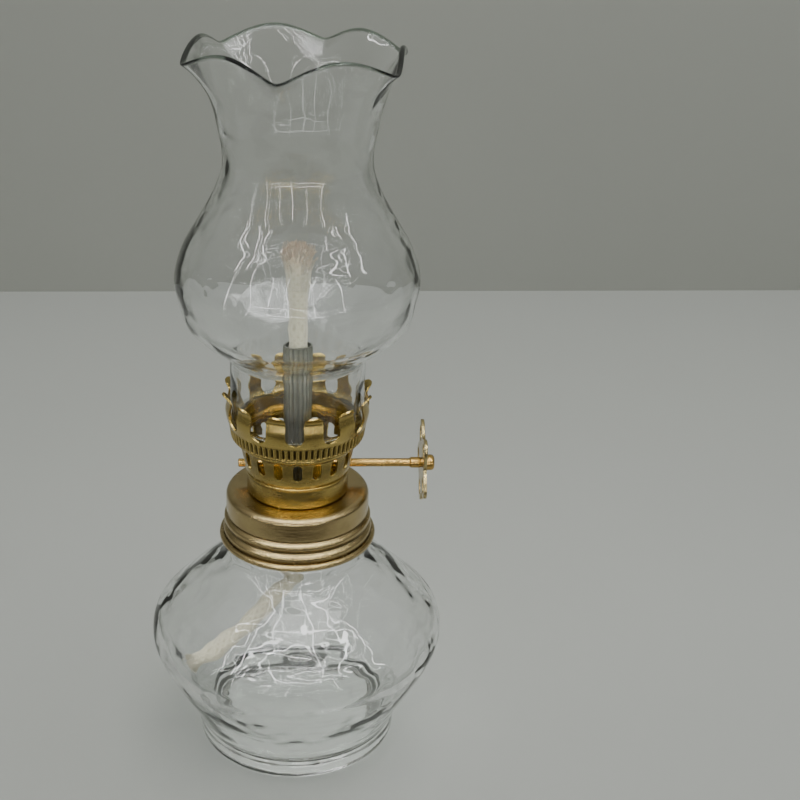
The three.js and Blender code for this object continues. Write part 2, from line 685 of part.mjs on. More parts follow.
const finishes = {
  glass: { color: 0xdfe8e4, roughness: 0.04, metalness: 0, transparent: true, opacity: 0.35 },
  paleBrass: { color: 0xc9b98a, roughness: 0.25, metalness: 1 },
  brass: { color: 0xc79a4b, roughness: 0.28, metalness: 1 },
  zinc: { color: 0x8f8f88, roughness: 0.45, metalness: 0.9 },
  cotton: { color: 0xe6e0d0, roughness: 0.95, metalness: 0 },
  liner: { color: 0xd8d4c6, roughness: 0.9, metalness: 0 },
};

const pieces = [
  ['font', fontGeometry, 'glass'],
  ['cap_liner', linerGeometry, 'liner'],
  ['screw_cap', screwCapGeometry, 'paleBrass'],
  ['burner_collar', collarGeometry, 'brass'],
  ['burner_bowl', bowlGeometry, 'brass'],
  ['gallery', galleryGeometry, 'brass'],
  ['wick_tube', wickTubeGeometry, 'zinc'],
  ['chimney', chimneyGeometry, 'glass'],
  ['wick', wickGeometry, 'cotton'],
  ['wick_tail', wickTailGeometry, 'cotton'],
  ['spindle', spindleGeometry, 'brass'],
  ['feed_wheel', feedWheelGeometry, 'brass'],
  ['thumbwheel', thumbwheelGeometry, 'paleBrass'],
  ['spindle_button', buttonGeometry, 'brass'],
];

const lamp = new THREE.Group();
for (const [name, makeGeometry, finish] of pieces) {
  const mesh = new THREE.Mesh(makeGeometry(), new THREE.MeshStandardMaterial(finishes[finish]));
  mesh.name = name;
  lamp.add(mesh);
}

export default lamp;
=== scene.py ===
"""Miniature table oil lamp: glass font, brass screw burner, cotton wick and ruffled chimney.

Profiles are written in millimetres and become metres when a mesh is made. +Z is up and the
origin is on the lamp's axis, on the table.
"""

import logging
import math
import random
from dataclasses import dataclass
from enum import Enum
from itertools import accumulate
from typing import Any, Callable, Iterable

import bmesh
import bpy
from mathutils import Matrix, Vector


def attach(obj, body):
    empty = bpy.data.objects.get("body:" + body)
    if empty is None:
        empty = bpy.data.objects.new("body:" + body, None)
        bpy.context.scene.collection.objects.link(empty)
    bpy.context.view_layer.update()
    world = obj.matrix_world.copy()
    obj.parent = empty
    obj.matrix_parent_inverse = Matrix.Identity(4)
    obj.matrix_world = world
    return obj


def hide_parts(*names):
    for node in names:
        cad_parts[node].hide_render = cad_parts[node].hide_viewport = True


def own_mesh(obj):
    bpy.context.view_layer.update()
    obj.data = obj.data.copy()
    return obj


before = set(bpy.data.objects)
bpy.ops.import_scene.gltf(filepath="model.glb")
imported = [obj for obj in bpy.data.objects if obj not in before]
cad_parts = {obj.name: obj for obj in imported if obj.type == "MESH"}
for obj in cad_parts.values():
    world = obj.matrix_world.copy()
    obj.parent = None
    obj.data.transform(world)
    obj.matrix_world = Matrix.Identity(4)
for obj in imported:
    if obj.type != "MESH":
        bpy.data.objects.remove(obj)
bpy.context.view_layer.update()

MM = 0.001
CM = 10  # millimetres in a centimetre, the unit of the turning map's V
TURN = 2 * math.pi
GOLDEN_SHARE = 0.381966  # of a turn, which spreads strands evenly round a wick
REST_GAP = 0.12
AXIS_RADIUS = 1e-6  # a profile point nearer the axis than this lies on it

Pair = tuple[float, float]
Profile = list[Pair]
Place = tuple[float, float, float]
Colour = tuple[float, float, float, float]
Shaper = Callable[[float, float, float], Pair]

log = logging.getLogger("oil_lamp")


class Lay(Enum):
    """Which way a turned or stamped piece's own axis points."""

    UPRIGHT = "z"
    ALONG_SPINDLE = "x"


# ---- Profiles -----------------------------------------------------------------------------


def arc(r: float, z: float, radius: float, start: float, end: float, steps: int) -> Profile:
    """Points of a circular arc in a profile.

    Args:
        r: distance of the arc's centre from the axis.
        z: height of the arc's centre.
        radius: the arc's radius.
        start: first angle in degrees, from outwards.
        end: last angle in degrees.
        steps: number of chords.

    Returns:
        The points from start to end.
    """
    angles = [math.radians(start + (end - start) * i / steps) for i in range(steps + 1)]
    return [(r + radius * math.cos(a), z + radius * math.sin(a)) for a in angles]


def line(a: Pair, b: Pair, steps: int) -> Profile:
    """Evenly spaced profile points from a to b.

    Args:
        a: first point.
        b: last point.
        steps: number of pieces.

    Returns:
        The points with both ends.
    """
    return [
        (a[0] + (b[0] - a[0]) * i / steps, a[1] + (b[1] - a[1]) * i / steps)
        for i in range(steps + 1)
    ]


def spline(points: list[tuple[float, ...]], steps: int) -> list[Vector]:
    """A smooth curve through points, at even spacing.

    Args:
        points: points of two or three coordinates.
        steps: number of pieces in the result.

    Returns:
        steps + 1 points along the curve.
    """
    knots = [Vector(p) for p in points]
    last = len(knots) - 1
    fine: list[Vector] = []
    per_knot = 40
    for i in range(last * per_knot + 1):
        k = min(i // per_knot, last - 1)
        t = i / per_knot - k
        p0, p1 = knots[max(k - 1, 0)], knots[k]
        p2, p3 = knots[k + 1], knots[min(k + 2, last)]
        v0, v1 = (p2 - p0) / 2, (p3 - p1) / 2
        a = (p1 - p2) * 2 + v0 + v1
        b = (p2 - p1) * 3 - v0 * 2 - v1
        fine.append(((a * t + b) * t + v0) * t + p1)
    reach = totals((b - a).length for a, b in zip(fine, fine[1:]))
    out: list[Vector] = []
    k = 0
    for i in range(steps + 1):
        goal = reach[-1] * i / steps
        while k < len(reach) - 2 and reach[k + 1] < goal:
            k += 1
        share = (goal - reach[k]) / max(reach[k + 1] - reach[k], 1e-9)
        out.append(fine[k].lerp(fine[k + 1], min(max(share, 0.0), 1.0)))
    return out


def smooth(points: Profile, steps: int) -> Profile:
    """A smooth profile through a few points.

    Args:
        points: radius and height of each.
        steps: number of pieces in the result.

    Returns:
        The finer profile.
    """
    return [(p.x, p.y) for p in spline(points, steps)]


def totals(lengths: Iterable[float]) -> list[float]:
    """Returns the running total of lengths, from zero."""
    return list(accumulate(lengths, initial=0.0))


def measure(points: Profile) -> float:
    """Returns the length of a profile."""
    return sum(math.dist(a, b) for a, b in zip(points, points[1:]))


def inset(points: Profile, wall: float) -> Profile:
    """The profile moved towards its left-hand side.

    Args:
        points: the outer profile, upwards.
        wall: how far it moves.

    Returns:
        The inner profile, in the same order.
    """
    out: Profile = []
    for i, (r, z) in enumerate(points):
        r0, z0 = points[max(i - 1, 0)]
        r1, z1 = points[min(i + 1, len(points) - 1)]
        length = math.hypot(r1 - r0, z1 - z0)
        out.append((r - wall * (z1 - z0) / length, z + wall * (r1 - r0) / length))
    return out


# ---- Meshes -------------------------------------------------------------------------------


def laid(point: Vector, lay: Lay, seat: Vector) -> Vector:
    """Turns a point to the piece's lay and moves it to its seat.

    Args:
        point: millimetres, about the piece's own upright axis.
        lay: which way the axis points.
        seat: where the piece's origin goes, in millimetres.

    Returns:
        The point in metres.
    """
    if lay is Lay.ALONG_SPINDLE:
        point = Vector((point.z, point.x, point.y))
    return (point + seat) * MM


def meshed(name: str, shape: bmesh.types.BMesh) -> bpy.types.Mesh:
    """Turns an edited shape into a mesh and frees the shape.

    Args:
        name: the mesh's name.
        shape: the edited shape, which is freed.

    Returns:
        The mesh.
    """
    mesh = bpy.data.meshes.new(name)
    shape.to_mesh(mesh)
    shape.free()
    return mesh


def applied(piece: bpy.types.Object) -> bpy.types.Mesh:
    """Returns a new mesh of a piece or curve with its modifiers applied."""
    bpy.context.view_layer.update()
    graph = bpy.context.evaluated_depsgraph_get()
    return bpy.data.meshes.new_from_object(piece.evaluated_get(graph), depsgraph=graph)


def to_object(name: str, mesh: bpy.types.Mesh, sharp_deg: float = 40) -> bpy.types.Object:
    """Puts a mesh in the scene, smooth except at its sharp edges.

    Args:
        name: the piece's name.
        mesh: its mesh.
        sharp_deg: edges that bend more than this stay sharp.

    Returns:
        The new object.
    """
    mesh.shade_smooth()
    mesh.set_sharp_from_angle(angle=math.radians(sharp_deg))
    piece = bpy.data.objects.new(name, mesh)
    bpy.context.scene.collection.objects.link(piece)
    return piece


class Turning:
    """Collects turned bodies, tongues and strands into one mesh with its UV map.

    U runs once round a turned body and V along its profile, in centimetres.
    """

    def __init__(self, name: str, lay: Lay = Lay.UPRIGHT, seat: Vector | None = None) -> None:
        """Starts an empty mesh.

        Args:
            name: the piece's name.
            lay: which way its axis points.
            seat: where its origin goes, in millimetres.
        """
        self.name = name
        self.lay = lay
        self.seat = seat or Vector((0, 0, 0))
        self.mesh = bmesh.new()
        self.uv = self.mesh.loops.layers.uv.new("turning")

    def vertex(self, x: float, y: float, z: float) -> bmesh.types.BMVert:
        """Adds a vertex given in millimetres."""
        return self.mesh.verts.new(laid(Vector((x, y, z)), self.lay, self.seat))

    def face(
        self,
        corners: list[bmesh.types.BMVert],
        uvs: Profile,
    ) -> None:
        """Adds a face, leaving out corners that repeat.

        Args:
            corners: its vertices in order.
            uvs: their places on the UV map.
        """
        kept = [(v, uv) for i, (v, uv) in enumerate(zip(corners, uvs)) if v not in corners[:i]]
        if len(kept) < 3:
            return
        made = self.mesh.faces.new([v for v, _ in kept])
        for loop, (_, uv) in zip(made.loops, kept):
            loop[self.uv].uv = uv

    def turn(
        self,
        profile: Profile,
        segments: int = 160,
        shaper: Shaper | None = None,
        ring: bool = False,
    ) -> "Turning":
        """Adds a body turned from a profile.

        Args:
            profile: radius and height, anticlockwise seen with the axis on the left.
            segments: number of sides.
            shaper: moves a point, from radius, height and azimuth to radius and height.
            ring: whether the profile closes on itself.

        Returns:
            This turning.
        """
        points = profile + [profile[0]] if ring else profile
        reach = totals(math.hypot(r1 - r0, z1 - z0) / CM
                       for (r0, z0), (r1, z1) in zip(points, points[1:]))
        rows: list[list[bmesh.types.BMVert]] = []
        for r, z in profile:
            if r < AXIS_RADIUS:
                rows.append([self.vertex(0, 0, z)] * segments)
                continue
            row = []
            for i in range(segments):
                azimuth = TURN * i / segments
                rr, zz = shaper(r, z, azimuth) if shaper else (r, z)
                row.append(self.vertex(rr * math.sin(azimuth), -rr * math.cos(azimuth), zz))
            rows.append(row)
        if ring:
            rows.append(rows[0])
        for j in range(len(rows) - 1):
            for i in range(segments):
                k = (i + 1) % segments
                u0, u1 = i / segments, (i + 1) / segments
                self.face(
                    [rows[j][i], rows[j][k], rows[j + 1][k], rows[j + 1][i]],
                    [(u0, reach[j]), (u1, reach[j]), (u1, reach[j + 1]), (u0, reach[j + 1])],
                )
        return self

    def tongue(
        self,
        outside: Profile,
        sheet: float,
        azimuth: float,
        half_widths: list[float],
        columns: int = 14,
    ) -> "Turning":
        """Adds one spring tongue bent to a profile.

        Args:
            outside: the tongue's outer profile, upwards.
            sheet: its thickness.
            azimuth: where its middle is.
            half_widths: half its width at each profile point.
            columns: number of faces across.

        Returns:
            This turning.
        """
        inside = inset(outside, sheet)
        layers: list[list[list[bmesh.types.BMVert]]] = []
        for profile in (outside, inside):
            layer = []
            for (r, z), half in zip(profile, half_widths):
                row = []
                for i in range(columns + 1):
                    turn = azimuth + (2 * i / columns - 1) * half / outside[0][0]
                    row.append(self.vertex(r * math.sin(turn), -r * math.cos(turn), z))
                layer.append(row)
            layers.append(layer)
        outer, inner = layers
        last = len(outside) - 1
        place = azimuth / TURN
        strip = 0.02

        def quad(a: Any, b: Any, c: Any, d: Any, j: int) -> None:
            """Adds a face at row j."""
            v0, v1 = j / CM, (j + 1) / CM
            self.face([a, b, c, d], [(place, v0), (place + strip, v0), (place + strip, v1),
                                     (place, v1)])

        for j in range(last):
            for i in range(columns):
                quad(outer[j][i], outer[j][i + 1], outer[j + 1][i + 1], outer[j + 1][i], j)
                quad(inner[j][i + 1], inner[j][i], inner[j + 1][i], inner[j + 1][i + 1], j)
            quad(inner[j][0], outer[j][0], outer[j + 1][0], inner[j + 1][0], j)
            quad(outer[j][-1], inner[j][-1], inner[j + 1][-1], outer[j + 1][-1], j)
        for i in range(columns):
            quad(outer[last][i], outer[last][i + 1], inner[last][i + 1], inner[last][i], last)
            quad(inner[0][i], inner[0][i + 1], outer[0][i + 1], outer[0][i], 0)
        return self

    def tube(
        self,
        route: list[Vector],
        radius: Callable[[float, float, float], float],
        sides: int,
    ) -> "Turning":
        """Adds a tube along a route.

        Args:
            route: the centreline's points in millimetres.
            radius: from share of the length, length so far and angle to radius.
            sides: number of sides.

        Returns:
            This turning.
        """
        reach = totals((b - a).length for a, b in zip(route, route[1:]))
        ahead = (route[1] - route[0]).normalized()
        side = ahead.orthogonal().normalized()
        rows = []
        for i, point in enumerate(route):
            to = route[min(i + 1, len(route) - 1)] - route[max(i - 1, 0)]
            ahead = to.normalized()
            side = (side - ahead * side.dot(ahead)).normalized()
            across = ahead.cross(side)
            row = []
            for k in range(sides):
                angle = TURN * k / sides
                r = radius(reach[i] / reach[-1], reach[i], angle)
                p = point + (side * math.cos(angle) + across * math.sin(angle)) * r
                row.append(self.vertex(p.x, p.y, p.z))
            rows.append(row)
        for j in range(len(rows) - 1):
            v0, v1 = reach[j] / CM, reach[j + 1] / CM
            for k in range(sides):
                n = (k + 1) % sides
                u0, u1 = k / sides, (k + 1) / sides
                self.face([rows[j][k], rows[j][n], rows[j + 1][n], rows[j + 1][k]],
                          [(u0, v0), (u1, v0), (u1, v1), (u0, v1)])
        for row, z in ((rows[0][::-1], 0.0), (rows[-1], reach[-1] / CM)):
            self.face(row, [(k / sides, z) for k in range(sides)])
        return self

    def finish(self, sharp_deg: float = 40) -> bpy.types.Object:
        """Closes the mesh and puts it in the scene.

        Args:
            sharp_deg: edges that bend more than this stay sharp.

        Returns:
            The new object.
        """
        return to_object(self.name, meshed(self.name, self.mesh), sharp_deg)


def settled(piece: bpy.types.Object, sharp_deg: float = 40) -> bpy.types.Object:
    """Applies a piece's modifiers to its mesh.

    Args:
        piece: the piece.
        sharp_deg: edges that bend more than this stay sharp.

    Returns:
        The same piece.
    """
    mesh = applied(piece)
    piece.modifiers.clear()
    piece.data = mesh
    mesh.shade_smooth()
    mesh.set_sharp_from_angle(angle=math.radians(sharp_deg))
    return piece


def paint_shade(piece: bpy.types.Object, depth: Callable[[float, float, float], float]) -> None:
    """Marks where painted shade darkens the metal, for the metal to read.

    Args:
        piece: the piece.
        depth: from radius, height and azimuth to how dark it is there.
    """
    marks = piece.data.attributes.new("painted_shade", "FLOAT", "POINT")
    values = []
    for vertex in piece.data.vertices:
        x, y, z = vertex.co / MM
        values.append(min(1.0, max(0.0, depth(math.hypot(x, y), z, math.atan2(x, -y)))))
    marks.data.foreach_set("value", values)


def pierce(piece: bpy.types.Object, punch: bpy.types.Object) -> bpy.types.Object:
    """Cuts one piece out of another and removes the cutter.

    Args:
        piece: what is cut.
        punch: the cutter.

    Returns:
        The cut piece.
    """
    cutting = piece.modifiers.new("punch", "BOOLEAN")
    cutting.operation = "DIFFERENCE"
    cutting.solver = "EXACT"
    cutting.object = punch
    settled(piece)
    bpy.data.objects.remove(punch)
    return piece


def stamped(
    name: str,
    outlines: list[Profile],
    thickness: float,
    rounding: float,
    seat: Vector,
) -> bpy.types.Object:
    """A stamped disc across the spindle, with rounded edges.

    Args:
        name: the piece's name.
        outlines: the outer outline and then its holes.
        thickness: along the spindle.
        rounding: radius of its edges.
        seat: its middle, in millimetres.

    Returns:
        The new object.
    """
    curve = bpy.data.curves.new(name, "CURVE")
    curve.dimensions = "2D"
    curve.fill_mode = "BOTH"
    curve.extrude = thickness / 2 - rounding
    curve.bevel_depth = rounding
    curve.bevel_resolution = 3
    curve.offset = -rounding
    for outline in outlines:
        path = curve.splines.new("POLY")
        path.points.add(len(outline) - 1)
        for point, (a, b) in zip(path.points, outline):
            point.co = (a, b, 0, 1)
        path.use_cyclic_u = True
    blank = bpy.data.objects.new(name + "_blank", curve)
    bpy.context.scene.collection.objects.link(blank)
    mesh = applied(blank)
    bpy.data.objects.remove(blank)
    shape = bmesh.new()
    shape.from_mesh(mesh)
    bmesh.ops.remove_doubles(shape, verts=shape.verts, dist=1e-4)
    bmesh.ops.recalc_face_normals(shape, faces=shape.faces)
    uv = shape.loops.layers.uv.new("turning")
    for face in shape.faces:
        for loop in face.loops:
            co = loop.vert.co
            loop[uv].uv = (math.atan2(co.x, co.y) / TURN, math.hypot(co.x, co.y) / CM)
    for vertex in shape.verts:
        vertex.co = laid(vertex.co, Lay.ALONG_SPINDLE, seat)
    shape.to_mesh(mesh)
    shape.free()
    mesh.name = name
    return to_object(name, mesh)


# ---- Shader groups ------------------------------------------------------------------------


class Bench:
    """Lays and joins the nodes of one tree."""

    def __init__(self, tree: bpy.types.NodeTree) -> None:
        """Works on the given tree."""
        self.tree = tree

    def add(self, kind: str, feeds: dict[Any, Any] | None = None, **settings: Any) -> Any:
        """Adds a node.

        Args:
            kind: the node's type, without its ShaderNode prefix.
            feeds: what goes into its inputs, a socket to link or a plain value.
            settings: the node's own properties.

        Returns:
            The node.
        """
        node = self.tree.nodes.new("ShaderNode" + kind)
        for key, value in settings.items():
            setattr(node, key, value)
        return self.feed(node, feeds or {})

    def feed(self, node: Any, feeds: dict[Any, Any]) -> Any:
        """Links sockets and sets plain values on a node's inputs.

        Args:
            node: the node.
            feeds: what goes into its inputs, a socket to link or a plain value.

        Returns:
            The same node.
        """
        for key, value in feeds.items():
            if isinstance(value, bpy.types.NodeSocket):
                self.tree.links.new(value, node.inputs[key])
            else:
                node.inputs[key].default_value = value
        return node

    def place(self) -> Any:
        """The piece's own coordinates; returns their socket."""
        return self.add("TexCoord").outputs["Object"]

    def turning(self) -> Any:
        """The turning UV map; returns its socket."""
        return self.add("UVMap", uv_map="turning").outputs[0]

    def relief(self, height: Any, strength: float, distance: float) -> Any:
        """A bumped normal from a height; returns its socket."""
        feeds = {"Height": height, "Strength": strength, "Distance": distance}
        return self.add("Bump", feeds).outputs[0]

    def shared(self, share: Any, shader: Any, other: Any) -> None:
        """Ends the material in a shader that gives way to another by share."""
        both = self.add("MixShader", {0: share, 1: shader.outputs[0], 2: other.outputs[0]})
        self.tree.links.new(both.outputs[0], self.tree.nodes["Material Output"].inputs["Surface"])

    def math(self, operation: str, a: Any, b: Any = 0.0, clamp: bool = False) -> Any:
        """One arithmetic step on two values; returns its socket."""
        return self.add("Math", {0: a, 1: b}, operation=operation, use_clamp=clamp).outputs[0]

    def mix(self, share: Any, a: Any, b: Any) -> Any:
        """A colour between a and b by share; returns its socket."""
        return self.add("Mix", {0: share, 6: a, 7: b}, data_type="RGBA").outputs[2]

    def spread(self, value: Any, low: float, high: float, to: Pair) -> Any:
        """Maps a value from low..high to a new range, held at its ends; returns its socket."""
        feeds = {0: value, 1: low, 2: high, 3: to[0], 4: to[1]}
        return self.add("MapRange", feeds, clamp=True).outputs[0]

    def noise(self, where: Any, scale: Any, detail: float = 3, rough: float = 0.5) -> Any:
        """Cloudy noise at a place; returns its value socket."""
        feeds = {"Vector": where, "Scale": scale, "Detail": detail, "Roughness": rough}
        return self.add("TexNoise", feeds).outputs[0]

    def stretch(self, where: Any, by: tuple[float, float, float]) -> Any:
        """A coordinate multiplied on each axis; returns its socket."""
        return self.add("VectorMath", {0: where, 1: by}, operation="MULTIPLY").outputs[0]


def effect(
    name: str,
    inputs: dict[str, tuple[str, Any]],
    outputs: list[str],
    build: Callable[[Bench, Any], list[Any]],
) -> bpy.types.NodeTree:
    """Makes a shader group once, or returns the one already made.

    Args:
        name: the group's name.
        inputs: each input's socket type and starting value.
        outputs: names of its value outputs.
        build: lays the nodes and returns a socket for each output.

    Returns:
        The group.
    """
    made = bpy.data.node_groups.get(name)
    if made:
        return made
    group = bpy.data.node_groups.new(name, "ShaderNodeTree")
    for key, (kind, start) in inputs.items():
        socket = group.interface.new_socket(key, in_out="INPUT", socket_type="NodeSocket" + kind)
        if start is not None:
            socket.default_value = start
    for key in outputs:
        group.interface.new_socket(key, in_out="OUTPUT", socket_type="NodeSocketFloat")
    given = group.nodes.new("NodeGroupInput").outputs
    result = group.nodes.new("NodeGroupOutput")
    for key, socket in zip(outputs, build(Bench(group), given)):
        group.links.new(socket, result.inputs[key])
    return group


def spun_marks() -> bpy.types.NodeTree:
    """Fine rings left by spinning and polishing, from the turning UV map.

    Returns:
        The shader group.
    """

    def build(bench: Bench, given: Any) -> list[Any]:
        """Noise stretched round the piece, coarse and fine.

        Args:
            bench: the group's bench.
            given: the group's inputs.

        Returns:
            A socket for each output.
        """
        along = bench.stretch(given["Turning"], (2.0, 60.0, 1.0))
        fine = bench.noise(along, given["Pitch"], 4, 0.65)
        broad = bench.noise(bench.stretch(given["Turning"], (3.0, 9.0, 1.0)), 3.0, 2)
        return [bench.math("ADD", fine, bench.math("MULTIPLY", broad, 0.5))]

    return effect("spun_marks", {"Turning": ("Vector", None), "Pitch": ("Float", 4.0)},
                  ["Height"], build)


def tarnish() -> bpy.types.NodeTree:
    """Patches and specks of duller metal.

    Returns:
        The shader group.
    """

    def build(bench: Bench, given: Any) -> list[Any]:
        """Large clouds with small specks inside them.

        Args:
            bench: the group's bench.
            given: the group's inputs.

        Returns:
            A socket for each output.
        """
        clouds = bench.noise(given["Place"], given["Scale"], 5, 0.6)
        specks = bench.noise(given["Place"], bench.math("MULTIPLY", given["Scale"], 9.0), 3, 0.7)
        low = bench.math("SUBTRACT", 0.75, bench.math("MULTIPLY", given["Amount"], 0.4))
        patches = bench.add("MapRange", {0: clouds, 1: low, 2: 0.85}, clamp=True).outputs[0]
        spots = bench.spread(specks, 0.6, 0.72, (0, 1))
        both = bench.math("MULTIPLY", spots, given["Amount"])
        return [bench.math("MAXIMUM", patches, both, True)]

    return effect(
        "tarnish",
        {"Place": ("Vector", None), "Scale": ("Float", 120.0), "Amount": ("Float", 0.5)},
        ["Mask"],
        build,
    )


def edge_wear() -> bpy.types.NodeTree:
    """Edges rubbed bright, broken up by noise.

    Returns:
        The shader group.
    """

    def build(bench: Bench, given: Any) -> list[Any]:
        """Pointed places, less where the noise is low.

        Args:
            bench: the group's bench.
            given: the group's inputs.

        Returns:
            A socket for each output.
        """
        pointed = bench.tree.nodes.new("ShaderNodeNewGeometry").outputs["Pointiness"]
        edge = bench.spread(pointed, 0.505, 0.56, (0, 1))
        broken = bench.spread(bench.noise(given["Place"], 900.0, 3), 0.35, 0.6, (0.3, 1))
        return [bench.math("MULTIPLY", edge, broken)]

    return effect("edge_wear", {"Place": ("Vector", None)}, ["Mask"], build)


def glass_ripple() -> bpy.types.NodeTree:
    """The gentle waves of blown and pressed glass.

    Returns:
        The shader group.
    """

    def build(bench: Bench, given: Any) -> list[Any]:
        """Broad waves, level drawn lines and short chatter.

        Args:
            bench: the group's bench.
            given: the group's inputs.

        Returns:
            A socket for each output.
        """
        waves = bench.noise(given["Place"], given["Scale"], 1, 0.4)
        drawn = bench.noise(bench.stretch(given["Place"], (0.35, 0.35, 2.2)), given["Scale"], 2)
        chatter = bench.noise(given["Place"], bench.math("MULTIPLY", given["Scale"], 2.6), 1)
        body = bench.math("ADD", waves, bench.math("MULTIPLY", drawn, 0.6))
        return [bench.math("ADD", body, bench.math("MULTIPLY", chatter, given["Chatter"]))]

    return effect(
        "glass_ripple",
        {"Place": ("Vector", None), "Scale": ("Float", 60.0), "Chatter": ("Float", 0.05)},
        ["Height"],
        build,
    )


def cotton_braid() -> bpy.types.NodeTree:
    """Yarns that cross on the slant, the loose lint over them, and painted shade between the
    yarns.

    Returns:
        The shader group.
    """

    def build(bench: Bench, given: Any) -> list[Any]:
        """Two slanting waves, their gaps and fine lint.

        Args:
            bench: the group's bench.
            given: the group's inputs.

        Returns:
            A socket for each output.
        """
        parts = bench.add("SeparateXYZ", {0: given["Turning"]})
        round_by = bench.math("MULTIPLY", parts.outputs[0], given["Yarns"])
        along = bench.math("MULTIPLY", parts.outputs[1], given["Lay"])
        waves = []
        for lean in ("ADD", "SUBTRACT"):
            phase = bench.math("MULTIPLY", bench.math(lean, round_by, along), TURN)
            waves.append(bench.math("ABSOLUTE", bench.math("SINE", phase)))
        yarn = bench.math("MAXIMUM", waves[0], waves[1])
        lint = bench.noise(bench.stretch(given["Turning"], (14.0, 2.5, 1.0)), 9.0, 6, 0.75)
        # Painted shade in the gaps between the yarns, joined below with the lint's random darker
        # tone.
        gap = bench.spread(yarn, 0.45, 0.85, (0.55, 0))
        height = bench.math("ADD", yarn, bench.math("MULTIPLY", lint, 0.9))
        return [height, bench.math("MAXIMUM", gap, bench.spread(lint, 0.35, 0.6, (0.5, 0)))]

    return effect(
        "cotton_braid",
        {"Turning": ("Vector", None), "Yarns": ("Float", 4.0), "Lay": ("Float", 2.0)},
        ["Height", "GapShadeAndLint"],
        build,
    )


# ---- Finishes -----------------------------------------------------------------------------


def fresh_material(name: str) -> tuple[bpy.types.Material, Bench, Any]:
    """A new material with its Principled shader.

    Args:
        name: the material's name.

    Returns:
        The material, its bench and its shader node.
    """
    material = bpy.data.materials.new(name)
    material.use_nodes = True
    return material, Bench(material.node_tree), material.node_tree.nodes["Principled BSDF"]


def placed(bench: Bench, group: bpy.types.NodeTree, feeds: dict[str, Any]) -> Any:
    """Puts a shader group in a material.

    Args:
        bench: the material's bench.
        group: the shader group.
        feeds: what goes into its inputs.

    Returns:
        The group's outputs.
    """
    return bench.add("Group", feeds, node_tree=group).outputs


@dataclass(frozen=True)
class Glass:
    """Clear soda glass, with a faint green cast where it is seen edge-on; painted shade darkens
    its edges and its lip.
    """

    name: str
    clear: Colour = (0.985, 0.992, 0.988, 1)
    # colour at grazing views: the glass's green cast, darkened as painted shade
    edge: Colour = (0.34, 0.4, 0.35, 1)
    ripple_scale: float = 45.0
    ripple_depth: float = 0.0012
    chatter: float = 0.03
    rim_place: float = -9.0  # where the lip is along the turning map
    # the lip's colour: painted shade over the green of its thicker glass
    rim: Colour = (0.1, 0.14, 0.1, 1)
    shadow: Colour = (0.9, 0.91, 0.9, 1)

    def material(self) -> bpy.types.Material:
        """Builds the glass.

        Returns:
            The finished material.
        """
        material, bench, shader = fresh_material(self.name)
        place = bench.place()
        ripple = placed(bench, glass_ripple(), {
            "Place": place, "Scale": self.ripple_scale, "Chatter": self.chatter})
        # Grazing views turn to the edge colour: the green cast of glass seen edge-on, darkened as
        # painted shade for the dark edges.
        facing = bench.add("LayerWeight", {"Blend": 0.28}).outputs["Facing"]
        graze = bench.spread(facing, 0.45, 1.0, (0, 1))
        colour = bench.mix(graze, self.clear, self.edge)
        turning = bench.turning()
        along = bench.add("SeparateXYZ", {0: turning}).outputs[1]
        # Near the lip the glass turns to the rim colour, the green of its thicker glass darkened
        # as painted shade.
        away = bench.math("ABSOLUTE", bench.math("SUBTRACT", along, self.rim_place))
        colour = bench.mix(bench.spread(away, 0.08, 0.13, (1, 0)), colour, self.rim)
        smear = bench.noise(place, 90.0, 4, 0.6)
        bench.feed(shader, {
            "Base Color": colour,
            "Roughness": bench.spread(smear, 0.45, 0.75, (0.0, 0.05)),
            "Normal": bench.relief(ripple["Height"], 1.0, self.ripple_depth),
            "IOR": 1.5,
            "Transmission Weight": 1.0,
        })
        lets_light = bench.add("BsdfTransparent", {"Color": self.shadow})
        bench.shared(bench.add("LightPath").outputs["Is Shadow Ray"], shader, lets_light)
        return material


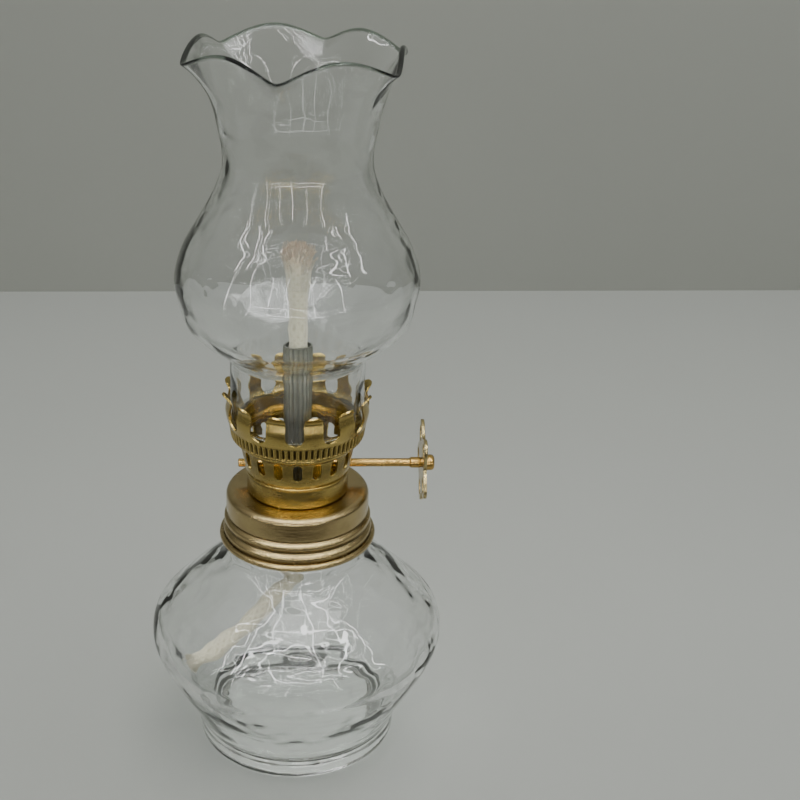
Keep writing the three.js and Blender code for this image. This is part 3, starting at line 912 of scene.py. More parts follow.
@dataclass(frozen=True)
class SheetMetal:
    """Thin plated or lacquered metal, spun, stamped or rolled, with painted shade in its creases
    and marked places.
    """

    name: str
    bright: Colour
    dull: Colour
    dark: Colour
    roughness: float = 0.2
    dull_roughness: float = 0.42
    marks: float = 0.00002
    pitch: float = 4.0
    tarnish_scale: float = 120.0
    tarnish_amount: float = 0.5
    # strength of the painted shade in concave places
    crease_shade: float = 0.25

    def material(self) -> bpy.types.Material:
        """Builds the metal.

        Returns:
            The finished material.
        """
        material, bench, shader = fresh_material(self.name)
        place = bench.place()
        turning = bench.turning()
        marks = placed(bench, spun_marks(), {"Turning": turning, "Pitch": self.pitch})
        spots = placed(bench, tarnish(), {
            "Place": place, "Scale": self.tarnish_scale, "Amount": self.tarnish_amount})
        worn = placed(bench, edge_wear(), {"Place": place})
        colour = bench.mix(spots["Mask"], self.bright, self.dull)
        # Painted shade: concave places, found by pointiness, darken towards the dark colour.
        painted_shade = bench.add("NewGeometry").outputs["Pointiness"]
        deep = bench.math("MULTIPLY", bench.spread(painted_shade, 0.42, 0.495, (1, 0)), self.crease_shade)
        colour = bench.mix(deep, colour, self.dark)
        # Painted shade marked on the mesh's vertices, broken up by noise, darkens the metal and
        # roughens it.
        painted = bench.add("Attribute", attribute_name="painted_shade").outputs["Fac"]
        shade_mask = bench.math("MULTIPLY", painted, bench.spread(
            bench.noise(place, 700.0, 4, 0.6), 0.3, 0.55, (0.7, 1.0)))
        colour = bench.mix(shade_mask, colour, self.dark)
        lighter = tuple(min(1.0, c * 1.18) for c in self.bright[:3]) + (1,)
        colour = bench.mix(worn["Mask"], colour, lighter)
        streak = bench.spread(marks["Height"], 0.4, 1.1, (-0.05, 0.07))
        rough = bench.spread(spots["Mask"], 0, 1, (self.roughness, self.dull_roughness))
        rough = bench.math("ADD", rough, streak, True)
        rough = bench.math("ADD", rough, bench.math("MULTIPLY", shade_mask, 0.3), True)
        normal = bench.relief(marks["Height"], 1.0, self.marks)
        bench.feed(shader, {
            "Base Color": colour, "Roughness": rough, "Normal": normal, "Metallic": 1.0})
        return material


@dataclass(frozen=True)
class Cotton:
    """Braided cotton, cream or stained by use."""

    name: str
    cream: Colour
    # painted shade between the yarns, and the lint's darker tone
    shade: Colour
    stain: Colour
    stain_from: float = 1.0
    stain_to: float = 1.01
    yarns: float = 4.0
    lay: float = 2.2
    bump: float = 0.00025

    def material(self) -> bpy.types.Material:
        """Builds the cotton.

        Returns:
            The finished material.
        """
        material, bench, shader = fresh_material(self.name)
        place = bench.place()
        turning = bench.turning()
        braid = placed(bench, cotton_braid(), {
            "Turning": turning, "Yarns": self.yarns, "Lay": self.lay})
        # The shade colour is painted shade between the yarns and the lint's random tone.
        colour = bench.mix(braid["GapShadeAndLint"], self.cream, self.shade)
        height = bench.add("SeparateXYZ", {0: place}).outputs[2]
        uneven = bench.noise(place, 500.0, 3)
        stained = bench.math("MULTIPLY", bench.spread(
            height, self.stain_from, self.stain_to, (0, 1)),
            bench.spread(uneven, 0.3, 0.6, (0.35, 1)))
        colour = bench.mix(stained, colour, self.stain)
        bench.feed(shader, {
            "Base Color": colour,
            "Roughness": bench.spread(uneven, 0.3, 0.7, (0.85, 1.0)),
            "Normal": bench.relief(braid["Height"], 0.8, self.bump),
            "Sheen Weight": 0.35,
            "Specular IOR Level": 0.2,
        })
        return material


@dataclass(frozen=True)
class Card:
    """Pressed card with short fibres."""

    name: str
    face: Colour = (0.55, 0.5, 0.4, 1)
    fibre: Colour = (0.36, 0.31, 0.23, 1)
    fibre_depth: float = 0.00008

    def material(self) -> bpy.types.Material:
        """Builds the card.

        Returns:
            The finished material.
        """
        material, bench, shader = fresh_material(self.name)
        place = bench.place()
        fibres = bench.noise(bench.stretch(place, (1.0, 3.0, 1.0)), 900.0, 6, 0.7)
        spots = placed(bench, tarnish(), {"Place": place, "Scale": 260.0, "Amount": 0.4})
        colour = bench.mix(bench.spread(fibres, 0.4, 0.65, (0, 1)), self.face, self.fibre)
        colour = bench.mix(spots["Mask"], colour, self.fibre)
        bench.feed(shader, {
            "Base Color": colour,
            "Roughness": bench.spread(fibres, 0.3, 0.7, (0.8, 0.95)),
            "Normal": bench.relief(fibres, 0.6, self.fibre_depth),
        })
        return material


@dataclass(frozen=True)
class Paper:
    """The plain paper that the lamp stands on and in front of."""

    name: str
    tone: Colour
    one_sided: bool = False

    def material(self) -> bpy.types.Material:
        """Builds the paper, clear from behind if it is one-sided.

        Returns:
            The finished material.
        """
        material, bench, shader = fresh_material(self.name)
        place = bench.place()
        soft = bench.spread(bench.noise(place, 3.0, 3), 0.3, 0.7, (0, 1))
        deeper = tuple(c * 0.93 for c in self.tone[:3]) + (1,)
        bench.feed(shader, {
            "Base Color": bench.mix(soft, self.tone, deeper),
            "Roughness": 0.75,
            "Specular IOR Level": 0.25,
        })
        if self.one_sided:
            back = bench.add("NewGeometry").outputs["Backfacing"]
            bench.shared(back, shader, bench.add("BsdfTransparent"))
        return material


class Finishes:
    """Every finish on the lamp, built once."""

    def __init__(self, lip_place: float) -> None:
        """Builds the materials.

        Args:
            lip_place: where the chimney's lip is along its turning map.
        """
        self.font_glass = Glass("font_glass", edge=(0.66, 0.71, 0.68, 1), ripple_scale=42,
                                ripple_depth=0.0017, chatter=0.34).material()
        self.chimney_glass = Glass("chimney_glass", ripple_scale=42, ripple_depth=0.0011,
                                   chatter=0.3, rim_place=lip_place).material()
        self.cap_brass = SheetMetal(
            "cap_brass", (0.47, 0.36, 0.175, 1), (0.27, 0.19, 0.08, 1), (0.045, 0.03, 0.01, 1),
            roughness=0.13, marks=0.00003, tarnish_amount=0.65, crease_shade=0.9).material()
        self.burner_brass = SheetMetal(
            "burner_brass", (0.47, 0.35, 0.11, 1), (0.28, 0.2, 0.07, 1), (0.03, 0.022, 0.008, 1),
            roughness=0.15, tarnish_amount=0.6, crease_shade=0.9).material()
        self.tube_zinc = SheetMetal(
            "tube_zinc", (0.27, 0.275, 0.235, 1), (0.15, 0.15, 0.125, 1), (0.05, 0.05, 0.04, 1),
            roughness=0.38, dull_roughness=0.6, tarnish_amount=0.8, crease_shade=0.8).material()
        self.spindle_brass = SheetMetal(
            "spindle_brass", (0.52, 0.33, 0.1, 1), (0.3, 0.18, 0.06, 1), (0.05, 0.03, 0.01, 1),
            roughness=0.2, tarnish_scale=300).material()
        self.thumbwheel_brass = SheetMetal(
            "thumbwheel_brass", (0.46, 0.37, 0.18, 1), (0.28, 0.2, 0.09, 1),
            (0.15, 0.09, 0.03, 1), roughness=0.18, tarnish_scale=220).material()
        self.liner_card = Card("liner_card").material()
        self.wick_cotton = Cotton(
            "wick_cotton", (0.5, 0.48, 0.36, 1), (0.34, 0.32, 0.22, 1), (0.52, 0.36, 0.23, 1),
            stain_from=0.133, stain_to=0.1415).material()
        self.tail_cotton = Cotton(
            "tail_cotton", (0.54, 0.51, 0.38, 1), (0.38, 0.35, 0.24, 1),
            (0.6, 0.5, 0.36, 1)).material()


def dress(piece: bpy.types.Object, finish: bpy.types.Material, body: str) -> None:
    """Gives a piece its finish and its body.

    Args:
        piece: the piece.
        finish: its material.
        body: the body it moves with.
    """
    piece.data.materials.clear()
    piece.data.materials.append(finish)
    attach(piece, body)
    log.info("%s: %d faces, rides %s", piece.name, len(piece.data.polygons), body)


# ---- Sub-assemblies -----------------------------------------------------------------------


@dataclass
class Font:
    """Squat glass oil bowl with a ringed foot and a threaded neck."""

    belly: float = 39.0
    belly_height: float = 33.0
    foot: float = 26.9
    foot_height: float = 6.6
    wall: float = 2.3
    floor: float = 5.4
    neck: float = 16.9
    neck_start: float = 57.0
    neck_top: float = 72.4
    neck_wall: float = 2.2
    thread: float = 0.6
    thread_pitch: float = 4.23
    heel_ticks: int = 96

    def outline(self) -> Profile:
        """Returns the closed wall's profile from the underside round to the floor."""
        shoulder = self.neck + 2.2
        belly = smooth([
            (self.foot + 0.5, self.foot_height),
            (self.foot + 3, self.belly_height * 0.375),
            (self.belly - 4.6, self.belly_height * 0.625),
            (self.belly - 0.9, self.belly_height * 0.86),
            (self.belly, self.belly_height),
            (self.belly - 1.1, self.belly_height + 4),
            (self.belly - 5.2, self.belly_height + 8.4),
            ((self.belly + shoulder) / 2 - 1.6, self.neck_start - 9.4),
            (shoulder + 1.9, self.neck_start - 4.4),
            (shoulder - 0.6, self.neck_start - 1.6),
            (self.neck + 1.2, self.neck_start),
        ], 72)
        bore = self.neck - self.neck_wall
        inner = [(r, z) for r, z in inset(belly, self.wall)[::-1]
                 if self.floor + 2.6 < z < self.neck_start - 1]
        heel = (
            arc(self.foot - 3.8, 0.9, 0.9, 200, 270, 6)
            + arc(self.foot - 1.5, 1.5, 1.5, 270, 360, 12)
            + line((self.foot + 0.05, 2.0), (self.foot + 0.2, self.foot_height - 1.4), 6)
        )
        neck = (
            arc(self.neck, self.neck_start + 1.2, 1.2, 0, 90, 6)[:-1]
            + line((self.neck, self.neck_start + 1.3), (self.neck, self.neck_top - 0.9), 56)
            + arc(self.neck - 0.8, self.neck_top - 0.8, 0.8, 0, 90, 6)
            + arc(bore + 0.6, self.neck_top - 0.6, 0.6, 90, 180, 5)
        )
        floor = smooth([
            inner[-1], (self.foot - 1.2, self.floor + 1.9), (self.foot - 4.2, self.floor + 0.8),
            (self.foot - 10, self.floor), (1.5, self.floor - 0.4),
        ], 26)[1:]
        under = smooth([(0, 2.4), (self.foot - 12, 2.3), (self.foot - 5.4, 1.75)], 12)
        lower = belly[0]
        blend = smooth([(self.foot + 0.2, self.foot_height - 1.4),
                        (self.foot - 0.05, self.foot_height - 0.5), lower, belly[2]], 8)[1:-1]
        return (under + heel + blend + belly[2:] + neck + [(bore, self.neck_start + 1)]
                + inner + floor + [(0, self.floor - 0.4)])

    def shaped(self, r: float, z: float, azimuth: float) -> Pair:
        """Adds the thread on the neck and the moulded ticks on the heel.

        Args:
            r: radius.
            z: height.
            azimuth: angle round the axis.

        Returns:
            The new radius and height.
        """
        low, high = self.neck_start + 3.4, self.neck_top - 1.8
        if r > self.neck - 0.1 and low < z < high:
            phase = (z - low) / self.thread_pitch - azimuth / TURN
            wave = max(0.0, math.cos(TURN * phase)) ** 1.6
            fade = min(1.0, (z - low) / 1.2, (high - z) / 1.2)
            r += self.thread * wave * fade
        if z < 2.6 and r > self.foot - 1.2:
            tick = max(0.0, math.cos(self.heel_ticks * azimuth)) ** 2
            uneven = 0.6 + 0.4 * math.sin(2 * azimuth + 0.7)
            r -= 0.13 * tick * uneven * min(1.0, (2.6 - z) / 1.2)
        return r, z

    def build(self, finishes: Finishes) -> None:
        """Makes and dresses the font."""
        glass = Turning("oil_font").turn(self.outline(), 432, self.shaped).finish(60)
        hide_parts("font")
        dress(glass, finishes.font_glass, "font")


@dataclass
class ScrewCap:
    """Spun brass cap with its card liner."""

    liner_bottom: float = 72.52
    liner_top: float = 73.62
    ceiling: float = 73.74
    top: float = 74.19
    bore: float = 17.8
    outer: float = 18.6
    bottom: float = 60.23
    rim: float = 20.5
    bead: float = 0.95
    hole: float = 3.9
    shoulder: float = 1.7
    groove_rises: tuple[float, ...] = (2.2, 4.6, 7.5)
    groove_half: float = 0.55
    liner_outer: float = 16.7
    liner_flat: Pair = (9.0, 14.0)

    def outline(self) -> Profile:
        """Returns the cap's ring profile."""
        centre = self.rim - self.bead
        bead_z = self.bottom + self.bead
        skirt = bead_z + 3.3
        wall = smooth([
            (self.outer + 0.85, bead_z + 1.6),
            (self.outer + 0.8, skirt - 0.9),
            (self.outer + 0.1, skirt),
            (self.outer - 0.05, skirt + 0.4),
            (self.outer + 0.5, skirt + 1.2),
            (self.outer + 0.62, skirt + 1.75),
            (self.outer + 0.45, skirt + 2.4),
            (self.outer - 0.28, skirt + 3.1),
            (self.outer - 0.3, skirt + 3.4),
            (self.outer, skirt + 4.0),
            (self.outer, self.top - self.shoulder),
        ], 54)
        return (
            line((self.hole, self.ceiling), (self.bore - 1.2, self.ceiling), 10)
            + arc(self.bore - 1.2, self.ceiling - 1.2, 1.2, 90, 0, 8)[1:]
            + [(self.bore, skirt + 3.2), (self.bore, skirt - 0.4)]
            + smooth([(self.bore, skirt - 0.5), (self.bore + 0.5, skirt - 1.1),
                      (self.bore + 0.55, bead_z), (centre - 0.35, self.bottom + 0.3)], 10)
            + arc(centre, bead_z, self.bead, -90, 100, 22)
            + wall
            + arc(self.outer - self.shoulder, self.top - self.shoulder, self.shoulder,
                  0, 90, 14)[1:]
            + line((self.outer - self.shoulder - 0.6, self.top), (self.hole, self.top), 12)
        )

    def build(self, finishes: Finishes) -> None:
        """Makes and dresses the cap and its liner.

        Args:
            finishes: the lamp's finishes.
        """
        cap = Turning("screw_cap_shell").turn(self.outline(), 256, ring=True).finish(50)
        grooves = [self.bottom + rise for rise in self.groove_rises]

        def depth(r: float, z: float, azimuth: float) -> float:
            """Painted shade in the bottom of each rolled groove."""
            return max(0.75 * max(0.0, 1 - abs(z - groove) / self.groove_half)
                       for groove in grooves)

        paint_shade(cap, depth)
        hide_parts("screw_cap")
        dress(cap, finishes.cap_brass, "burner")
        inner, outer = self.hole + 1.4, self.liner_outer
        low, high, r = self.liner_bottom, self.liner_top, 0.3
        near, far = self.liner_flat
        ring = (
            arc(inner + r, low + r, r, 180, 270, 4) + line((near, low), (far, low), 6)
            + arc(outer - r, low + r, r, 270, 360, 4) + arc(outer - r, high - r, r, 0, 90, 4)
            + line((far, high), (near, high), 6) + arc(inner + r, high - r, r, 90, 180, 4)
        )
        liner = Turning("sealing_liner").turn(ring, 128, ring=True).finish()
        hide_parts("cap_liner")
        dress(liner, finishes.liner_card, "liner")


@dataclass
class Burner:
    """Drawn collar, slotted draught bowl and the gallery that grips the chimney."""

    sheet: float = 0.45
    tube_hole: float = 3.9
    collar: float = 13.1
    collar_bottom: float = 74.31
    collar_top: float = 80.31
    bowl_bottom: float = 80.43
    bowl_top: float = 89.73
    bowl_radius: float = 14.7
    slots: int = 18
    slot_width: float = 2.3
    slot_length: float = 4.9
    slot_rise: float = 2.4
    gallery_bottom: float = 89.85
    seat_top: float = 94.45
    prong_root: float = 17.75
    prongs: int = 12
    prong_turn: float = 12.5
    prong_width: float = 4.8
    prong_length: float = 8.0
    tip: float = 2.3
    ridges: int = 74
    ridge_depth: float = 0.5
    chimney_foot: float = 17.0
    chimney_wall: float = 1.2
    seat_lap: float = 0.9
    # strength of the painted shade across the slots
    slot_shade: float = 0.62
    spindle_hole: float = 1.4
    drill_reach: float = 20.0
    punch_reach: Pair = (9.0, 20.0)

    def collar_piece(self, spindle_y: float, spindle_z: float) -> bpy.types.Object:
        """The plain drawn cup with a bead at its edge and the spindle's holes.

        Args:
            spindle_y: the spindle axis's place.
            spindle_z: its height.

        Returns:
            The collar.
        """
        inside, floor = self.collar - self.sheet, self.collar_bottom + self.sheet
        profile = (
            line((self.tube_hole, self.collar_bottom),
                 (self.collar - 0.9, self.collar_bottom), 8)
            + arc(self.collar - 0.6, self.collar_bottom + 0.6, 0.6, -90, 0, 6)
            + line((self.collar, self.collar_bottom + 1),
                   (self.collar - 0.1, self.collar_top - 1), 8)
            + arc(self.collar - 0.05, self.collar_top - 0.34, 0.34, -80, 90, 10)
            + arc(inside + 0.1, self.collar_top - 0.1, 0.1, 90, 180, 3)
            + line((inside, self.collar_top - 0.4), (inside, floor + 0.4), 8)
            + arc(inside - 0.4, floor + 0.4, 0.4, 0, -90, 5)
            + line((inside - 0.8, floor), (self.tube_hole, floor), 8)
        )
        cup = Turning("burner_cup").turn(profile, 192, ring=True).finish()
        drill = Turning("drill", Lay.ALONG_SPINDLE, Vector((0, spindle_y, spindle_z)))
        hole, reach = self.spindle_hole, self.drill_reach
        drill.turn([(0, -reach), (hole, -reach), (hole, reach), (0, reach)], 40)
        return pierce(cup, drill.finish())

    def bowl_piece(self) -> bpy.types.Object:
        """The flared bowl with its ring of draught slots and rolled top bead.

        Returns:
            The bowl.
        """
        foot, bead = self.collar + 0.15, self.bowl_top - 0.8
        top = self.bowl_radius
        wall = smooth([
            (foot, self.bowl_bottom), (foot + 0.28, self.bowl_bottom + 0.6),
            (foot + 0.62, self.bowl_bottom + 2.6), (top - 0.35, self.bowl_top - 4.2),
            (top, self.bowl_top - 2),
        ], 26)
        profile = (
            [(foot - 2.2, self.bowl_bottom)] + wall
            + arc(top + 0.1, bead, 0.8, -60, 90, 14)
            + [(top - 1.3, self.bowl_top), (top - 1.3, self.bowl_top - self.sheet)]
            + [(top - self.sheet, self.bowl_top - 1), (top - self.sheet, self.bowl_top - 2)]
            + inset(wall, self.sheet)[2:-1][::-1]
            + [(foot - 2.2, self.bowl_bottom + self.sheet)]
        )
        bowl = Turning("draught_bowl").turn(profile, 288, ring=True).finish()
        punch = bmesh.new()
        low = self.bowl_bottom + self.slot_rise + self.slot_width / 2
        high = low + self.slot_length - self.slot_width
        half = self.slot_width / 2
        ends = arc(0, high, half, 0, 180, 12) + arc(0, low, half, 180, 360, 12)
        for k in range(self.slots):
            turn = Matrix.Rotation(TURN * k / self.slots, 3, "Z")
            rings = []
            for reach in self.punch_reach:
                rings.append([punch.verts.new(turn @ Vector((x, -reach, z)) * MM)
                              for x, z in ends])
            count = len(ends)
            for i in range(count):
                n = (i + 1) % count
                punch.faces.new([rings[0][i], rings[0][n], rings[1][n], rings[1][i]])
            punch.faces.new(rings[0][::-1])
            punch.faces.new(rings[1])
        bmesh.ops.recalc_face_normals(punch, faces=punch.faces)
        pierce(bowl, to_object("slot_punch", meshed("slot_punch", punch)))
        middle = (low + high) / 2

        def depth(r: float, z: float, azimuth: float) -> float:
            """Painted shade across the band of slots, less above and below them."""
            near = max(0.0, 1 - abs(z - middle) / (self.slot_length * 0.72))
            return self.slot_shade * near ** 0.6

        paint_shade(bowl, depth)
        return bowl

    def knurled(self, r: float, z: float, azimuth: float) -> Pair:
        """Rolls the coin-edge ridges into the band.

        Args:
            r: radius.
            z: height.
            azimuth: angle round the axis.

        Returns:
            The new radius and height.
        """
        low, high = self.gallery_bottom + 0.45, self.gallery_bottom + 3.4
        if low < z < high and r > self.prong_root - 1.2:
            wave = (1 + math.cos(self.ridges * azimuth)) / 2
            fade = min(1.0, (z - low) / 0.35, (high - z) / 0.35)
            r -= self.ridge_depth * (1 - wave) ** 1.5 * fade
        return r, z

    def gallery_piece(self) -> bpy.types.Object:
        """The seat ring with its knurled band and twelve spring prongs.

        Returns:
            The gallery.
        """
        foot, root = self.prong_root - 0.8, self.prong_root
        low, seat = self.gallery_bottom, self.seat_top
        inner = self.chimney_foot - self.chimney_wall - self.seat_lap
        band = (
            [(self.bowl_radius - 0.7, low), (foot - 0.6, low)]
            + arc(foot - 0.3, low + 0.35, 0.35, -90, 0, 4)
            + line((foot + 0.15, low + 0.5), (root - 0.25, low + 3.35), 20)
            + smooth([(root - 0.3, low + 3.5), (root - 0.22, low + 3.9), (root, seat)], 6)
            + [(inner, seat), (inner, seat - self.sheet)]
            + line((root - self.sheet - 0.6, seat - self.sheet),
                   (foot - self.sheet - 0.45, low + self.sheet + 0.1), 10)
            + [(self.bowl_radius - 0.7, low + self.sheet)]
        )
        gallery = Turning("chimney_gallery")
        gallery.turn(band, self.ridges * 10, self.knurled, ring=True)
        length, bulge, flare = self.prong_length, 0.6, 1.6
        outside = smooth([
            (root, seat - 0.3),
            (root + bulge * 0.8, seat + length * 0.22),
            (root + bulge, seat + length * 0.42),
            (root + bulge * 0.45, seat + length * 0.62),
            (root + 0.1, seat + length * 0.76),
            (root + flare * 0.4, seat + length * 0.88),
            (root + flare, seat + length),
        ], 34)
        half = self.prong_width / 2
        gap = math.pi * root / self.prongs - half
        top = outside[-1][1]
        widths = []
        for _, z in outside:
            rise = z - seat
            wide = half
            if rise < gap:
                wide += gap - math.sqrt(max(0.0, gap ** 2 - (gap - max(rise, 0.0)) ** 2))
            if top - z < self.tip:
                down = self.tip - (top - z)
                wide -= self.tip - math.sqrt(max(0.0, self.tip ** 2 - down ** 2))
            widths.append(max(wide, 0.25))
        for k in range(self.prongs):
            azimuth = TURN * k / self.prongs + math.radians(self.prong_turn)
            gallery.tongue(outside, self.sheet, azimuth, widths)
        piece = gallery.finish()

        def depth(r: float, z: float, azimuth: float) -> float:
            """Painted shade between the ridges, under the band and on its inner side."""
            if low + 0.3 < z < low + 3.6 and r > foot - 0.4:
                return ((1 - math.cos(self.ridges * azimuth)) / 2) ** 2 * 0.95
            return 0.9 if z < low + 0.3 else 0.0

        paint_shade(piece, depth)
        return piece

    def build(self, finishes: Finishes, spindle_y: float, spindle_z: float) -> None:
        """Makes and dresses the burner's three parts.

        Args:
            finishes: the lamp's finishes.
            spindle_y: the spindle axis's place.
            spindle_z: its height.
        """
        for piece, node in (
            (self.collar_piece(spindle_y, spindle_z), "burner_collar"),
            (self.bowl_piece(), "burner_bowl"),
            (self.gallery_piece(), "gallery"),
        ):
            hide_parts(node)
            dress(piece, finishes.burner_brass, "burner")


@dataclass
class WickTube:
    """Fluted tube that guides the wick, with a window for the feed wheel."""

    radius: float = 3.6
    wall: float = 0.5
    flutes: int = 20
    flute_depth: float = 0.22
    top: float = 114.39
    bottom: float = 60.99
    washers: tuple[Pair, ...] = ((73.02, 73.62), (74.88, 75.33))
    window: tuple[float, float, float] = (2.0, 3.6, 5.9)
    window_y: float = 3.6

    def fluted(self, r: float, z: float, azimuth: float) -> Pair:
        """Presses the flutes into the barrel.

        Args:
            r: radius.
            z: height.
            azimuth: angle round the axis.

        Returns:
            The new radius and height.
        """
        if self.radius - 0.05 < r < self.radius + 0.05:
            wave = (1 - math.cos(self.flutes * azimuth)) / 2
            fade = min(1.0, (self.top - z) / 0.8, (z - self.bottom) / 0.8)
            r -= self.flute_depth * 1.3 * wave ** 0.7 * max(0.0, fade)
        return r, z

    def build(self, finishes: Finishes, wheel_z: float) -> None:
        """Makes and dresses the tube, with its window at the feed wheel's height.

        Args:
            finishes: the lamp's finishes.
            wheel_z: the feed wheel's height.
        """
        bore = self.radius - self.wall
        profile = (
            arc(self.radius - 0.15, self.bottom + 0.15, 0.15, -90, 0, 4)
            + line((self.radius, self.bottom + 0.3), (self.radius, self.top - 0.3), 150)
            + arc(self.radius - 0.2, self.top - 0.2, 0.2, 0, 90, 4)
            + arc(bore + 0.12, self.top - 0.12, 0.12, 90, 180, 4)
            + line((bore, self.top - 0.4), (bore, self.bottom + 0.3), 40)
        )
        tube = Turning("wick_guide").turn(profile, 240, self.fluted, ring=True)
        for low, high in self.washers:
            outer, inner, r = self.radius + 1.1, self.radius - 0.3, 0.15
            tube.turn(
                [(inner, low)] + arc(outer - r, low + r, r, -90, 0, 4)
                + arc(outer - r, high - r, r, 0, 90, 4) + [(inner, high)],
                96, ring=True)
        barrel = tube.finish()
        window = bmesh.new()
        bmesh.ops.create_cube(window, size=1)
        wide, deep, high = self.window
        for vertex in window.verts:
            x, y, z = vertex.co
            vertex.co = Vector((x * wide, self.window_y + y * deep, wheel_z + z * high)) * MM
        pierce(barrel, to_object("wheel_window", meshed("wheel_window", window)))
        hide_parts("wick_tube")
        dress(barrel, finishes.tube_zinc, "burner")


@dataclass
class Wick:
    """Round braided wick: stem, frayed head, and the loose tail in the oil."""

    radius: float = 2.4
    bottom: float = 58.69
    top: float = 141.19
    swell_from: float = 120.0
    swell: float = 0.5
    head_length: float = 10.2
    head_radius: float = 4.6
    track_from: float = 65.4
    track_to: float = 101.8
    track_y: float = 1.6
    yarn_lay: float = 9.0
    yarn_height: float = 0.16
    head_strands: int = 340
    tail_strands: int = 170
    seed: int = 11
    tail_route: tuple[Place, ...] = (
        (0, 0, 58.3), (0, 0, 53), (-3, -3.2, 47), (-8.6, -6.8, 40.6),
        (-15.6, -9, 34.6), (-23, -10, 29), (-30.2, -10.5, 23.8),
    )

    def braid(self, azimuth: float, along: float) -> float:
        """How far the yarns stand out, from 0 to 1.

        Args:
            azimuth: angle round the wick.
            along: millimetres along it.

        Returns:
            The height of the yarn there.
        """
        slant = along * TURN / self.yarn_lay
        return max(abs(math.sin(4 * (azimuth + slant / 2))),
                   abs(math.sin(4 * (azimuth - slant / 2))))

    def stem_shape(self, r: float, z: float, azimuth: float) -> Pair:
        """Braids the stem, and flattens the side that the feed wheel presses.

        Args:
            r: radius.
            z: height.
            azimuth: angle round the axis.

        Returns:
            The new radius and height.
        """
        if r < 1.0:
            return r, z
        rise = min(1.0, max(0.0, (z - self.swell_from) / (self.top - 10 - self.swell_from)))
        r += self.swell * rise ** 1.5
        r += self.yarn_height * (self.braid(azimuth, z) - 0.9)
        back = -math.cos(azimuth) * r
        if self.track_from < z < self.track_to and back > self.track_y:
            r *= self.track_y / back
        return r, z

    def strand(
        self, fray: Turning, root: Vector, knee: Vector, tip: Vector, thick: float
    ) -> None:
        """Adds one loose fibre.

        Args:
            fray: the mesh that it joins.
            root: where it leaves the wick.
            knee: the point that pulls its bend.
            tip: its end.
            thick: its radius at the root.
        """
        route = []
        for i in range(8):
            t = i / 7
            route.append(root * (1 - t) ** 2 + knee * (2 * t * (1 - t)) + tip * t ** 2)
        fray.tube(route, lambda share, _, __: thick * (1 - 0.55 * share), 6)

    def head_piece(self) -> bpy.types.Object:
        """The splayed tuft of loose yarn above the stem.

        Returns:
            The tuft.
        """
        chance = random.Random(self.seed)
        fray = Turning("wick_head")
        base = self.top - self.head_length
        for k in range(self.head_strands):
            azimuth = TURN * (k * GOLDEN_SHARE + chance.uniform(-0.02, 0.02))
            share = math.sqrt(chance.uniform(0.02, 1))
            inner = share * (self.radius + self.swell - 0.15)
            out = Vector((math.sin(azimuth), -math.cos(azimuth), 0))
            tip_r = share * chance.uniform(3.7, self.head_radius) + chance.uniform(0, 0.4)
            tip_r = min(tip_r, self.head_radius - 0.1)
            drop = 3.0 * share ** 3 * chance.uniform(0.2, 1.2)
            tip_z = self.top - 0.2 - drop - chance.uniform(0, 1.6)
            root = out * inner + Vector((0, 0, base - 1.5))
            knee = out * (inner * 0.95 + 0.3) + Vector((0, 0, base + 5.2))
            tip = out * tip_r + Vector((chance.uniform(-0.5, 0.5), chance.uniform(-0.5, 0.5),
                                        tip_z))
            self.strand(fray, root, knee, tip, chance.uniform(0.16, 0.3))
        return fray.finish(80)

    def tail_pieces(self) -> tuple[bpy.types.Object, bpy.types.Object, list[Vector]]:
        """The wick's loose tail and the fray at its end.

        Returns:
            The tail, its frayed end and the route's points in millimetres.
        """
        full = spline(self.tail_route, 130)
        route = full[:124]
        tail = Turning("wick_tail_cord")

        def thickness(share: float, along: float, angle: float) -> float:
            """The braided radius, less at the frayed end."""
            close = 1 - 0.25 * max(0.0, (share - 0.93) / 0.07)
            return (self.radius + self.yarn_height * (self.braid(angle, along) - 0.85)) * close

        tail.tube(route, thickness, 48)
        chance = random.Random(self.seed + 1)
        fray = Turning("wick_tail_fray")
        end, ahead = route[-1], (route[-1] - route[-8]).normalized()
        side = ahead.orthogonal().normalized()
        across = ahead.cross(side)
        for k in range(self.tail_strands):
            angle = TURN * (k * GOLDEN_SHARE)
            ring = math.sqrt(chance.uniform(0.02, 1))
            out = side * math.cos(angle) + across * math.sin(angle)
            root = end - ahead * 2.6 + out * ring * 2.0
            tip = end + ahead * chance.uniform(0.2, 1.7) + out * (ring * chance.uniform(2.4, 3.9))
            knee = end - ahead * 0.6 + out * ring * 2.2
            self.strand(fray, root, knee, tip, chance.uniform(0.13, 0.24))
        return tail.finish(80), fray.finish(80), route

    def build(self, finishes: Finishes) -> None:
        """Makes and dresses the wick, with its loose tail.

        Args:
            finishes: the lamp's finishes.
        """
        tail, tail_fray, route = self.tail_pieces()
        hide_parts("wick_tail")
        for piece in (tail, tail_fray):
            dress(piece, finishes.tail_cotton, "wick")
        for piece in (tail, tail_fray):
            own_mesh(piece)
        neck = self.top - self.head_length
        profile = (
            [(0, self.bottom)] + line((1.2, self.bottom), (self.radius - 0.3, self.bottom), 3)
            + line((self.radius, self.bottom + 0.3), (self.radius, neck), 360)
            + smooth([(self.radius, neck + 0.2), (self.radius + 0.25, neck + 3.2),
                      (self.radius + 0.5, neck + 6.2), (1.4, neck + 8.4)], 24)
            + [(0, neck + 8.5)]
        )
        stem = Turning("wick_stem").turn(profile, 72, self.stem_shape).finish(80)
        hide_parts("wick")
        for piece in (stem, self.head_piece()):
            dress(piece, finishes.wick_cotton, "wick")


